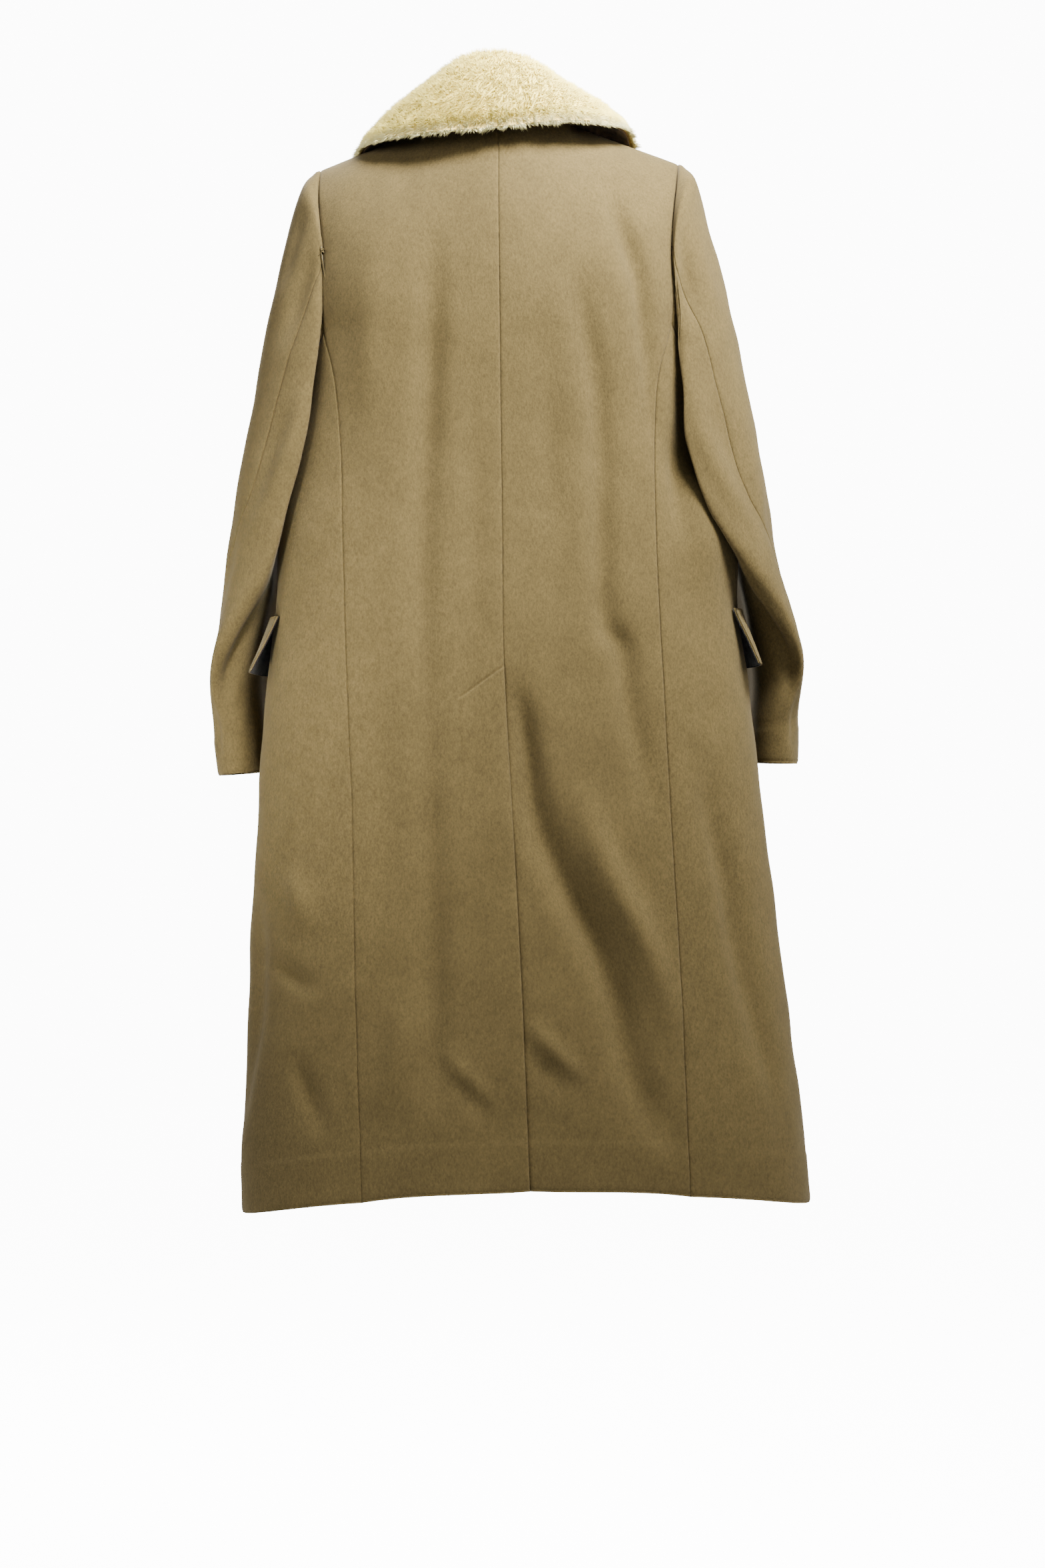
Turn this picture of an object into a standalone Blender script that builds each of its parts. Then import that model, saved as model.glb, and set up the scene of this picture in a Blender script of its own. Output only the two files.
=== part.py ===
"""A long wool overcoat with a shearling collar, filled out and empty, in the pieces it is sewn from.

Metres. X runs to the wearer's left, Y to the back and Z up from the neck points.
"""
import math

import bpy
import numpy as np

# Cloth, seams and the fur side
CLOTH = 0.0022
LINING = 0.0010
SEAM_GAP = 0.0003
HEAD_GAP = 0.0003
FUR = 0.0100
FUR_EDGE = 0.62
FUR_ARC = (0.15, 0.92)
FUR_ARC_POWER = 0.6
FUR_PAST = 0.003
UNDERCOLLAR = 0.0018

# Neck, shoulders and armholes
NECK_HALF = 0.076
NECK_SIDE_Y = -0.005
NECK_BACK_Y = 0.057
NECK_BACK_Z = 0.008
NECK_FRONT_Y = -0.090
NECK_FRONT_Z = -0.078
TIP_X = 0.188
TIP_Z = -0.0425
ARMPIT_Z = -0.220
ARMHOLE_DIP = 0.030
SHOULDER_POWER = 2.4
SHOULDER_ROUND = 0.62
NECK_ROUND = 0.80

# Rings of the body: height, half widths, depths before and behind the ring's middle line
RING_Y = 0.010
BACK_SQUARE = 2.6
FRONT_SQUARE = 2.1
RING_COLUMNS = ("z", "left", "right", "back", "front")
RINGS = (
    (-1.140, 0.2870, 0.3065, 0.146, 0.160),
    (-1.060, 0.2855, 0.3010, 0.142, 0.157),
    (-0.960, 0.2785, 0.2895, 0.137, 0.153),
    (-0.850, 0.2722, 0.2755, 0.131, 0.149),
    (-0.740, 0.2640, 0.2640, 0.126, 0.145),
    (-0.614, 0.2560, 0.2535, 0.120, 0.140),
    (-0.505, 0.2412, 0.2405, 0.113, 0.134),
    (-0.437, 0.2365, 0.2345, 0.108, 0.130),
    (-0.342, 0.2185, 0.2150, 0.104, 0.129),
    (-0.280, 0.2085, 0.2065, 0.105, 0.129),
    (-0.200, 0.1985, 0.1965, 0.108, 0.126),
)

# Seam lines of the back, read down the photo: height, centre back, then the two side-back seams
SEAM_COLUMNS = ("z", "centre", "left", "right")
BACK_SEAMS = (
    (-1.130, -0.0141, 0.1550, 0.1752),
    (-0.900, -0.0088, 0.1590, 0.1700),
    (-0.710, -0.0020, 0.1600, 0.1625),
    (-0.570, 0.0033, 0.1637, 0.1575),
    (-0.438, 0.0027, 0.1657, 0.1540),
    (-0.343, 0.0022, 0.1670, 0.1555),
    (-0.270, 0.0018, 0.1730, 0.1620),
    (-0.220, 0.0015, 0.1840, 0.1750),
    (-0.140, 0.0010, 0.1850, 0.1765),
    (-0.070, 0.0005, 0.1885, 0.1840),
    (-0.0425, 0.0000, 0.1880, 0.1880),
)
FRONT_SEAM_SHARE = 0.86

# Hem height at the centre back, side-back seam, side-front seam and centre front
HEM_STATIONS = (0.0, 1.0, 1.5, 2.0, 3.0)
HEM_HEIGHTS = (-1.098, -1.108, -1.127, -1.134, -1.137)

# Soft folds: the face they lie on, heights down the fold, place across, depth at each, half width
FOLD_COLUMNS = ("face", "heights", "across", "depths", "width")
FOLDS = (
    ("back", (-0.10, -0.24, -0.46, -0.66, -0.95), (0.070, 0.066, 0.078, 0.062, 0.066),
     (0.0, -0.0045, -0.0050, -0.0045, -0.0020), 0.020),
    ("back", (-0.05, -0.12, -0.20, -0.28, -0.36), (-0.112, -0.128, -0.143, -0.150, -0.150),
     (0.0, -0.0050, -0.0060, -0.0040, 0.0), 0.013),
    ("back", (-0.13, -0.22, -0.37, -0.50, -0.66), (-0.072, -0.086, -0.094, -0.106, -0.124),
     (0.0, -0.0040, -0.0050, -0.0045, 0.0), 0.017),
    ("back", (-0.58, -0.72, -0.86, -0.98, -1.08), (-0.020, -0.034, -0.096, -0.124, -0.160),
     (0.0, -0.0100, -0.0120, -0.0120, -0.0040), 0.017),
    ("back", (-0.70, -0.80, -0.92, -1.02), (-0.078, -0.118, -0.150, -0.172),
     (0.0, 0.0060, 0.0060, 0.0), 0.020),
    ("back", (-0.60, -0.72, -0.90, -1.00), (-0.192, -0.200, -0.228, -0.244),
     (0.0, -0.0050, -0.0060, 0.0), 0.020),
    ("back", (-0.92, -0.98, -1.04), (0.052, 0.030, 0.008), (0.0, 0.0050, 0.0), 0.018),
    ("right", (-0.27, -0.34, -0.39), (0.066, 0.064, 0.060), (0.0, -0.0080, 0.0), 0.024),
    ("right", (-0.37, -0.44, -0.52), (0.062, 0.056, 0.044), (0.0, 0.0060, 0.0), 0.030),
    ("left", (-0.80, -0.90, -1.04), (0.050, 0.062, 0.040), (0.0, -0.0050, 0.0), 0.024),
    ("front", (-0.30, -0.55, -0.85, -1.10), (0.120, 0.128, 0.140, 0.150),
     (0.0, -0.0050, -0.0080, -0.0080), 0.026),
    ("front", (-0.34, -0.60, -0.88, -1.10), (-0.110, -0.126, -0.148, -0.160),
     (0.0, -0.0050, -0.0080, -0.0080), 0.026),
    ("front", (-0.55, -0.80, -1.10), (0.060, 0.072, 0.080), (0.0, 0.0050, 0.0060), 0.024),
)

# Front overlap, vent and hem
OVERLAP = 0.030
OVERLAP_DROP = 0.0032
OVERLAP_FADE = (OVERLAP + 0.004, OVERLAP + 0.045)
VENT_TOP = -0.571
VENT_SLANT = 0.031
VENT_WIDTH_COLUMNS = 3
VENT_STEP = 0.0014
VENT_FADE = 0.055
VENT_OPENS = (VENT_TOP - 0.03, VENT_TOP + 0.02)
VENT_TOP_GAP = 0.004

# Sleeves: outer edge, inner edge, rear and front reach, and how far the rear and front lean along X
SLEEVE_COLUMNS = ("outer_x", "outer_z", "inner_x", "inner_z", "rear_y", "front_y", "rear_dx", "front_dx")
SLEEVES = {
    "left": (
        (0.2060, -0.0620, 0.2100, -0.2530, 0.066, -0.062, -0.0210, 0.000),
        (0.2195, -0.1020, 0.2140, -0.2680, 0.071, -0.068, -0.0283, 0.000),
        (0.2345, -0.1600, 0.2175, -0.2920, 0.076, -0.072, -0.0345, -0.004),
        (0.2485, -0.2225, 0.2215, -0.3250, 0.080, -0.074, -0.0390, -0.006),
        (0.2655, -0.3060, 0.2275, -0.3650, 0.082, -0.077, -0.0385, -0.010),
        (0.2828, -0.3900, 0.2375, -0.4150, 0.079, -0.085, -0.0320, -0.012),
        (0.2968, -0.4740, 0.2450, -0.4800, 0.068, -0.096, -0.0155, -0.016),
        (0.3060, -0.5360, 0.2580, -0.5370, 0.048, -0.104, 0.008, -0.024),
        (0.3136, -0.5780, 0.2610, -0.5800, 0.026, -0.106, 0.013, -0.024),
        (0.3138, -0.6300, 0.2575, -0.6310, 0.010, -0.104, 0.002, -0.012),
        (0.3105, -0.6760, 0.2560, -0.6720, 0.002, -0.100, 0.000, -0.006),
    ),
    "right": (
        (0.2045, -0.0620, 0.2085, -0.2530, 0.076, -0.062, -0.0220, 0.000),
        (0.2155, -0.1040, 0.2120, -0.2680, 0.080, -0.068, -0.0300, 0.000),
        (0.2300, -0.1580, 0.2150, -0.2920, 0.084, -0.072, -0.0405, -0.004),
        (0.2430, -0.2180, 0.2195, -0.3250, 0.090, -0.074, -0.0468, -0.006),
        (0.2590, -0.3020, 0.2245, -0.3650, 0.094, -0.077, -0.0538, -0.010),
        (0.2755, -0.3960, 0.2350, -0.4150, 0.092, -0.085, -0.0463, -0.012),
        (0.2870, -0.4680, 0.2440, -0.4800, 0.078, -0.096, -0.0140, -0.016),
        (0.3045, -0.5320, 0.2550, -0.5370, 0.048, -0.104, 0.009, -0.024),
        (0.3110, -0.5720, 0.2580, -0.5800, 0.026, -0.106, 0.014, -0.024),
        (0.3075, -0.6250, 0.2560, -0.6310, 0.010, -0.104, 0.002, -0.012),
        (0.3070, -0.6740, 0.2550, -0.6720, 0.002, -0.100, 0.000, -0.006),
    ),
}
SLEEVE_SQUARE = 2.35
# Angle of the elbow seam round the sleeve at each ring, from the outer edge towards the back
ELBOW_SEAM = (88.0, 86.0, 78.0, 69.0, 58.0, 50.0, 42.0, 14.0, 2.0, -4.0, -6.0, -6.0)
FOREARM_SEAM = (236.0, 236.0, 235.0, 234.0, 232.0, 230.0, 228.0, 226.0, 225.0, 225.0, 225.0, 225.0)
SLEEVE_FOLD_COLUMNS = ("side", "places", "angles", "depths", "width")
SLEEVE_FOLDS = (
    ("left", (0.62, 0.72, 0.82, 0.90), (150.0, 128.0, 104.0, 84.0), (0.0, -0.0060, -0.0070, 0.0), 20.0),
    ("left", (0.16, 0.24, 0.30), (62.0, 54.0, 48.0), (0.0, -0.0040, 0.0), 14.0),
    ("right", (0.60, 0.72, 0.82, 0.90), (150.0, 124.0, 98.0, 80.0), (0.0, -0.0060, -0.0080, 0.0), 20.0),
    ("right", (0.14, 0.20, 0.27), (96.0, 90.0, 84.0), (0.0, -0.0040, 0.0), 14.0),
)

# Collar, from the right front end round the back to the left front end: the roll line and the outer edge
COLLAR_COLUMNS = ("share", "roll_x", "roll_y", "roll_z", "edge_x", "edge_y", "edge_z")
COLLAR = (
    (-1.00, -0.018, -0.104, -0.056, -0.056, -0.1150, -0.150),
    (-0.80, -0.053, -0.085, -0.031, -0.108, -0.0940, -0.105),
    (-0.60, -0.074, -0.044, 0.000, -0.134, -0.0520, -0.043),
    (-0.42, -0.071, -0.004, 0.022, -0.136, 0.0000, -0.0145),
    (-0.25, -0.058, 0.034, 0.038, -0.112, 0.0480, -0.0095),
    (-0.12, -0.031, 0.055, 0.052, -0.060, 0.0840, -0.0120),
    (0.00, 0.000, 0.062, 0.057, 0.000, 0.0980, -0.0200),
    (0.12, 0.031, 0.055, 0.054, 0.064, 0.0850, -0.0215),
    (0.25, 0.058, 0.034, 0.045, 0.116, 0.0520, -0.0185),
    (0.42, 0.072, -0.004, 0.026, 0.143, 0.0000, -0.0195),
    (0.60, 0.075, -0.044, 0.001, 0.139, -0.0520, -0.045),
    (0.80, 0.053, -0.085, -0.031, 0.108, -0.0940, -0.105),
    (1.00, 0.018, -0.104, -0.056, 0.056, -0.1150, -0.150),
)
COLLAR_SIDE_SHARE = 0.42
COLLAR_END_ANGLE = 81.0
ROLL_RADIUS = 0.0065
FALL_BOW = 0.006
FOOT_RISE = 0.0

# Pocket flaps: places round the body, height of the slit, drop, and how far they stand out
FLAP_STATIONS = (1.42, 1.5, 1.625, 1.75, 1.875, 2.0, 2.149)
FLAP_TOP = -0.5135
FLAP_DROP = 0.060
FLAP_LIE = 0.0012
FLAP_LEAN = 0.0035
FLAP_KICK = {"left": 0.021, "right": 0.017}

# Buttons down the centre front
BUTTON_HEIGHTS = (-0.205, -0.320, -0.435, -0.550)
BUTTON_RADIUS = 0.0130
BUTTON_THICK = 0.0040
BUTTON_ROUND = 0.0010
BUTTON_SEAT = 0.0006

# How finely the walls are divided
NECK_STEPS = 7
SHOULDER_STEPS = 4
LOWER_STEPS = 19
UPPER_STEPS = 7
SIDE_STEPS = 8
SLEEVE_STEPS = 17
SECTION_STEPS = 9
FLAP_STEPS = 3
TURN_STEP = 8.0
ALONG_STEP = 0.01
SETTLE = 0.16

# Colours and how rough each surface is
CAMEL = (0.30, 0.23, 0.13)
CREAM = (0.78, 0.68, 0.42)
BROWN = (0.16, 0.11, 0.06)
BLACK = (0.012, 0.011, 0.010)
HORN = (0.05, 0.03, 0.02)
CLOTH_ROUGH = 0.90
FUR_ROUGH = 0.95
UNDERCOLLAR_ROUGH = 0.80
LINING_ROUGH = 0.35
HORN_ROUGH = 0.40


def clear_scene():
    for thing in list(bpy.data.objects):
        bpy.data.objects.remove(thing, do_unlink=True)


def smooth(knots, values, at):
    """Value of a smooth curve through the knots, which may hold single numbers or points."""
    knots = np.asarray(knots, float)
    values = np.asarray(values, float)
    at = np.clip(np.asarray(at, float), knots.min(), knots.max())
    if knots[0] > knots[-1]:
        knots = knots[::-1]
        values = values[::-1]
    steps = np.diff(knots)
    shape = (-1,) + (1,) * (values.ndim - 1)
    chords = np.diff(values, axis=0) / steps.reshape(shape)
    slopes = np.empty_like(values)
    slopes[0] = chords[0]
    slopes[-1] = chords[-1]
    ahead = steps[1:].reshape(shape)
    behind = steps[:-1].reshape(shape)
    slopes[1:-1] = (chords[:-1] * ahead + chords[1:] * behind) / (ahead + behind)
    spot = np.clip(np.searchsorted(knots, at, side="right") - 1, 0, len(steps) - 1)
    step = steps[spot]
    t = (at - knots[spot]) / step
    extra = (1,) * (values.ndim - 1)
    t = t.reshape(t.shape + extra)
    step = step.reshape(step.shape + extra)
    start = (2 * t**3 - 3 * t**2 + 1) * values[spot] + (t**3 - 2 * t**2 + t) * step * slopes[spot]
    end = (3 * t**2 - 2 * t**3) * values[spot + 1] + (t**3 - t**2) * step * slopes[spot + 1]
    return start + end


def column(table, names, name):
    return [row[names.index(name)] for row in table]


def points_of(table, names, stem):
    return np.array([column(table, names, f"{stem}_{axis}") for axis in "xyz"]).T


def side_sign(side):
    return 1.0 if side == "left" else -1.0


def ease(low, high, at):
    t = np.clip((np.asarray(at, float) - low) / (high - low), 0.0, 1.0)
    return t * t * (3.0 - 2.0 * t)


def unit(vectors):
    return vectors / np.maximum(np.linalg.norm(vectors, axis=-1, keepdims=True), 1e-12)


def ring_size(name, z):
    return smooth(column(RINGS, RING_COLUMNS, "z"), column(RINGS, RING_COLUMNS, name), z)


def back_seam(name, z):
    return smooth(column(BACK_SEAMS, SEAM_COLUMNS, "z"), column(BACK_SEAMS, SEAM_COLUMNS, name), z)


def back_depth(x, half, z):
    inside = np.clip(1.0 - np.abs(x / half) ** BACK_SQUARE, 0.0, 1.0)
    return RING_Y + ring_size("back", z) * inside ** (1.0 / BACK_SQUARE)


def front_depth(x, half, z):
    inside = np.clip(1.0 - np.abs(x / half) ** FRONT_SQUARE, 0.0, 1.0)
    return RING_Y - ring_size("front", z) * inside ** (1.0 / FRONT_SQUARE)


def hem_height(station):
    return smooth(HEM_STATIONS, HEM_HEIGHTS, station)


def top_height(station):
    """Height where the skirt part of the body ends: the armpit level, lower under the arm."""
    inside = np.clip(station - 1.0, 0.0, 1.0)
    return ARMPIT_Z - ARMHOLE_DIP * np.sin(math.pi * inside) ** 0.7


def skirt(side, station, rise):
    """Body below the armpits. Station 0 is the centre back, 1 and 2 the side seams, 3 the centre front."""
    sign = side_sign(side)
    station, rise = np.broadcast_arrays(np.asarray(station, float), np.asarray(rise, float))
    z = hem_height(station) + (top_height(station) - hem_height(station)) * rise
    half = ring_size(side, z)
    centre = back_seam("centre", z)
    back_x = back_seam(side, z)
    front_x = FRONT_SEAM_SHARE * half
    rear = station <= 1.0
    x_rear = centre * sign + (back_x - centre * sign) * station
    x_front = front_x * (3.0 - station)
    start = np.arccos(np.clip(back_x / half, 0, 1) ** (BACK_SQUARE / 2))
    end = -np.arccos(np.clip(front_x / half, 0, 1) ** (FRONT_SQUARE / 2))
    angle = start + (end - start) * np.clip(station - 1.0, 0.0, 1.0)
    square = np.where(angle > 0, BACK_SQUARE, FRONT_SQUARE)
    deep = np.where(angle > 0, ring_size("back", z), ring_size("front", z))
    x_side = half * np.abs(np.cos(angle)) ** (2.0 / square)
    y_side = RING_Y + np.sign(angle) * deep * np.abs(np.sin(angle)) ** (2.0 / square)
    x = np.where(rear, x_rear, np.where(station < 2.0, x_side, x_front))
    y_rear = back_depth(x_rear, half, z)
    y_front = front_depth(x_front, half, z)
    y = np.where(rear, y_rear, np.where(station < 2.0, y_side, y_front))
    return np.stack([x * sign, y, z], axis=-1)


def yoke(side, share, climb, front):
    """Body above the armpits: share 0 is the centre line, 1 the armhole; climb 1 is the neck and shoulder."""
    sign = side_sign(side)
    share, climb = np.broadcast_arrays(np.asarray(share, float), np.asarray(climb, float))
    across = share * TIP_X
    neck = np.sqrt(np.clip(1.0 - (across / NECK_HALF) ** 2, 0.0, 1.0))
    slope = TIP_Z * np.clip((across - NECK_HALF) / (TIP_X - NECK_HALF), 0.0, 1.0)
    if front:
        top_z = slope + NECK_FRONT_Z * neck
        top_y = NECK_SIDE_Y + (NECK_FRONT_Y - NECK_SIDE_Y) * neck
    else:
        top_z = slope + NECK_BACK_Z * neck
        top_y = NECK_SIDE_Y + (NECK_BACK_Y - NECK_SIDE_Y) * neck
    z = ARMPIT_Z + (top_z - ARMPIT_Z) * climb
    half = ring_size(side, ARMPIT_Z)
    edge_z = ARMPIT_Z + (TIP_Z - ARMPIT_Z) * climb
    if front:
        centre = 0.0
        edge = FRONT_SEAM_SHARE * half + (TIP_X - FRONT_SEAM_SHARE * half) * ease(0.0, 1.0, climb)
        low_x = FRONT_SEAM_SHARE * half * share
        low_y = front_depth(low_x, half, ARMPIT_Z)
    else:
        centre = back_seam("centre", z) * sign
        edge = back_seam(side, edge_z)
        low_centre = back_seam("centre", ARMPIT_Z) * sign
        low_x = low_centre + (back_seam(side, ARMPIT_Z) - low_centre) * share
        low_y = back_depth(low_x, half, ARMPIT_Z)
    x = centre + (edge - centre) * share
    power = NECK_ROUND + (SHOULDER_ROUND - NECK_ROUND) * ease(0.2, 0.6, share)
    full = np.clip(1.0 - climb**SHOULDER_POWER, 0.0, 1.0) ** power
    y = top_y + (low_y - top_y) * full
    return np.stack([x * sign, y, z], axis=-1)


def body(side, station, rise):
    """Any point of the body: rise 0 to 1 is the skirt part, 1 to 2 the part above the armpits."""
    station, rise = np.broadcast_arrays(np.asarray(station, float), np.asarray(rise, float))
    low = skirt(side, station, np.clip(rise, 0.0, 1.0))
    climb = np.clip(rise - 1.0, 0.0, 1.0)
    back = yoke(side, np.clip(station, 0.0, 1.0), climb, False)
    front = yoke(side, np.clip(3.0 - station, 0.0, 1.0), climb, True)
    high = np.where((station < 1.5)[..., None], back, front)
    return np.where((rise > 1.0)[..., None], high, low)


def body_normal(side, station, rise):
    """Outward direction of the body's smooth surface, from small steps along it."""
    station, rise = np.broadcast_arrays(np.asarray(station, float), np.asarray(rise, float))
    wide = 0.02
    tall = 0.01
    left = np.clip(station - wide, 0.0, 3.0)
    right = np.clip(station + wide, 0.0, 3.0)
    above_low = rise > 1.0 + 1e-9
    left = np.where(above_low & (station >= 2.0), np.maximum(left, 2.0), left)
    right = np.where(above_low & (station <= 1.0), np.minimum(right, 1.0), right)
    side_body = (station > 1.0 + 1e-9) & (station < 2.0 - 1e-9)
    top = np.where(side_body, 1.0, 2.0)
    up = np.minimum(rise + tall, top)
    down = np.maximum(rise - tall, 0.0)
    along = body(side, right, rise) - body(side, left, rise)
    climb = body(side, station, up) - body(side, station, down)
    sign = side_sign(side)
    return unit(np.cross(climb, along)) * sign


def fold_depth(side, points, station):
    """How far the folds move the body's surface out at these points."""
    moved = np.zeros(points.shape[:-1])
    weights = {
        "back": 1.0 - ease(1.15, 1.45, station),
        "front": ease(1.65, 1.95, station),
        side: ease(1.0, 1.2, station) * (1.0 - ease(1.8, 2.0, station)),
    }
    z = points[..., 2]
    for row in FOLDS:
        fold = dict(zip(FOLD_COLUMNS, row))
        if fold["face"] not in weights:
            continue
        place = points[..., 1] if fold["face"] in ("left", "right") else points[..., 0]
        offset = place - smooth(fold["heights"], fold["across"], z)
        amount = smooth(fold["heights"], fold["depths"], z) * np.exp(-(offset / fold["width"]) ** 2)
        moved += np.where(z <= fold["heights"][0], amount, 0.0) * weights[fold["face"]]
    return moved


def panel_columns():
    """Shares across a back or front: closer round the neck, even along the shoulder."""
    neck = [NECK_HALF / TIP_X * math.sin(math.pi / 2 * k / NECK_STEPS) for k in range(NECK_STEPS + 1)]
    shoulder = np.linspace(NECK_HALF / TIP_X, 1.0, SHOULDER_STEPS + 1)[1:]
    return np.array(neck + list(shoulder))


def lower_rows():
    return np.linspace(0.0, 1.0, LOWER_STEPS + 1)


def upper_rows():
    return 1.0 + np.sin(np.linspace(0.0, math.pi / 2, UPPER_STEPS + 1))


def armhole(side):
    """The armhole's points and the body's outward direction there, tip, back, underarm, front and tip."""
    climbs = upper_rows()
    stations = np.linspace(1.0, 2.0, SIDE_STEPS + 1)
    back = [(1.0, rise) for rise in climbs[::-1]]
    under = [(s, 1.0) for s in stations[1:-1]]
    front = [(2.0, rise) for rise in climbs]
    spots = np.array(back + under + front)
    points = body(side, spots[:, 0], spots[:, 1])
    normals = body_normal(side, spots[:, 0], spots[:, 1])
    tip = unit(normals[0] + normals[-1])
    normals[0] = tip
    normals[-1] = tip
    return points, normals


def armhole_angles(points):
    """Angle round the sleeve of each armhole point, from its height: 0 at the tip, 180 under the arm."""
    low = len(points) // 2
    middle = (points[0, 2] + points[low, 2]) / 2
    half = (points[0, 2] - points[low, 2]) / 2
    share = np.clip((points[:, 2] - middle) / half, -1.0, 1.0)
    angles = np.degrees(np.arccos(np.sign(share) * np.abs(share) ** (SLEEVE_SQUARE / 2)))
    angles[low + 1:] = 360.0 - angles[low + 1:]
    return angles


def sleeve_section(side, row, degrees):
    """One ring of the sleeve, at angles from its outer edge over the back."""
    sign = side_sign(side)
    size = dict(zip(SLEEVE_COLUMNS, row))
    angle = np.radians(degrees)
    cos = np.sign(np.cos(angle)) * np.abs(np.cos(angle)) ** (2.0 / SLEEVE_SQUARE)
    sin = np.sign(np.sin(angle)) * np.abs(np.sin(angle)) ** (2.0 / SLEEVE_SQUARE)
    x = (size["outer_x"] + size["inner_x"]) / 2 + (size["outer_x"] - size["inner_x"]) / 2 * cos
    z = (size["outer_z"] + size["inner_z"]) / 2 + (size["outer_z"] - size["inner_z"]) / 2 * cos
    lean = np.where(sin > 0, size["rear_dx"] * sin**3, size["front_dx"] * sin**2)
    y = (size["rear_y"] + size["front_y"]) / 2 + (size["rear_y"] - size["front_y"]) / 2 * sin
    return np.stack([(x + lean) * sign, y, z], axis=-1)


def sleeve_knots():
    """Where each ring of the table lies along the sleeve, from 0 at the armhole to 1 at the cuff."""
    rings = SLEEVES["left"]
    middles = [(0.186, (TIP_Z + ARMPIT_Z) / 2)]
    middles += [((row[0] + row[2]) / 2, (row[1] + row[3]) / 2) for row in rings]
    lengths = np.linalg.norm(np.diff(np.array(middles), axis=0), axis=1)
    total = np.concatenate([[0.0], np.cumsum(lengths)])
    return total / total[-1]


def sleeve(side, angles_at_top, angles, along):
    """Points of the sleeve; angles are degrees, along runs from 0 at the armhole to 1 at the cuff."""
    points, normals = armhole(side)
    top_angles = armhole_angles(points)
    spread = np.mod(angles, 360.0)
    rows = [smooth_ring(top_angles, points, angles_at_top)]
    rows += [sleeve_section(side, row, spread) for row in SLEEVES[side]]
    knots = sleeve_knots()
    stacked = np.array([np.broadcast_to(row, spread.shape + (3,)) for row in rows])
    flat_along = np.broadcast_to(along, spread.shape)
    out = np.empty(spread.shape + (3,))
    for index in np.ndindex(spread.shape):
        out[index] = smooth(knots, stacked[(slice(None),) + index], flat_along[index])
    return out


def smooth_ring(angles, points, at):
    """Point of the closed armhole line at an angle, straight between its own points."""
    at = np.mod(at, 360.0)
    return np.stack([np.interp(at, angles, points[:, k]) for k in range(3)], axis=-1)


def wall(name, outer, inner, colour, rough):
    """A closed wall between two grids of points, outer and inner."""
    rows, cols = outer.shape[:2]
    points = [tuple(p) for p in outer.reshape(-1, 3)] + [tuple(p) for p in inner.reshape(-1, 3)]
    back = rows * cols
    faces = []
    for r in range(rows - 1):
        for c in range(cols - 1):
            a = r * cols + c
            b = a + 1
            d = a + cols
            e = d + 1
            faces.append((a, b, e, d))
            faces.append((back + a, back + d, back + e, back + b))
    for c in range(cols - 1):
        low = c
        high = (rows - 1) * cols + c
        faces.append((low, back + low, back + low + 1, low + 1))
        faces.append((high, high + 1, back + high + 1, back + high))
    for r in range(rows - 1):
        first = r * cols
        last = first + cols - 1
        faces.append((first, first + cols, back + first + cols, back + first))
        faces.append((last, back + last, back + last + cols, last + cols))
    mesh = bpy.data.meshes.new(name)
    mesh.from_pydata(points, [], faces)
    mesh.update()
    return add_object(name, mesh, colour, rough)


def add_object(name, mesh, colour, rough):
    mesh.shade_smooth()
    material = bpy.data.materials.new(name)
    material.use_nodes = True
    shader = material.node_tree.nodes["Principled BSDF"]
    shader.inputs["Base Color"].default_value = colour + (1.0,)
    shader.inputs["Roughness"].default_value = rough
    mesh.materials.append(material)
    thing = bpy.data.objects.new(name, mesh)
    parts.objects.link(thing)
    return thing


def oriented(outer, inner):
    """Both grids with their columns turned, where needed, so that the wall's faces point out."""
    across = outer[:-1, 1:] - outer[:-1, :-1]
    up = outer[1:, :-1] - outer[:-1, :-1]
    facing = np.sum(np.cross(across, up) * (outer - inner)[:-1, :-1])
    if facing < 0:
        return outer[:, ::-1], inner[:, ::-1]
    return outer, inner


def draw_in(grid, sides, amount=SEAM_GAP / 2):
    """Pull the named edges of a grid back from their seam lines."""
    out = grid.copy()
    if "first" in sides:
        out[:, 0] += unit(grid[:, 1] - grid[:, 0]) * amount
    if "last" in sides:
        out[:, -1] += unit(grid[:, -2] - grid[:, -1]) * amount
    if "top" in sides:
        out[-1] += unit(grid[-2] - grid[-1]) * amount
    return out


def shell_grid(side, stations, rises, lift=None):
    """Surface points and outward directions of a body panel, with its folds and any lift."""
    station, rise = np.meshgrid(stations, rises)
    points = body(side, station, rise)
    normals = body_normal(side, station, rise)
    moved = fold_depth(side, points, station)
    if lift is not None:
        moved = moved + lift(points)
    return points, normals, moved


def share_shoulder_normals(normals, other):
    """Along the shoulder seam a front and a back lean the same way."""
    normals[-1, NECK_STEPS:] = unit(normals[-1, NECK_STEPS:] + other[-1, NECK_STEPS:])
    return normals


def seam_direction(side):
    """Shared wall direction and outward seam direction at each armhole point, for body and sleeve."""
    points, body_way = armhole(side)
    angles = armhole_angles(points)
    step = np.full(len(points), sleeve_knots()[1] * 0.35)
    near = sleeve(side, angles, angles, step)
    tangent = np.empty_like(points)
    tangent[1:-1] = points[2:] - points[:-2]
    tangent[0] = points[1] - points[-2]
    tangent[-1] = tangent[0]
    sign = side_sign(side)
    sleeve_way = unit(np.cross(near - points, tangent)) * sign
    shared = unit(body_way + sleeve_way)
    away = unit(np.cross(unit(tangent), shared)) * sign
    return points, shared, away


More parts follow.
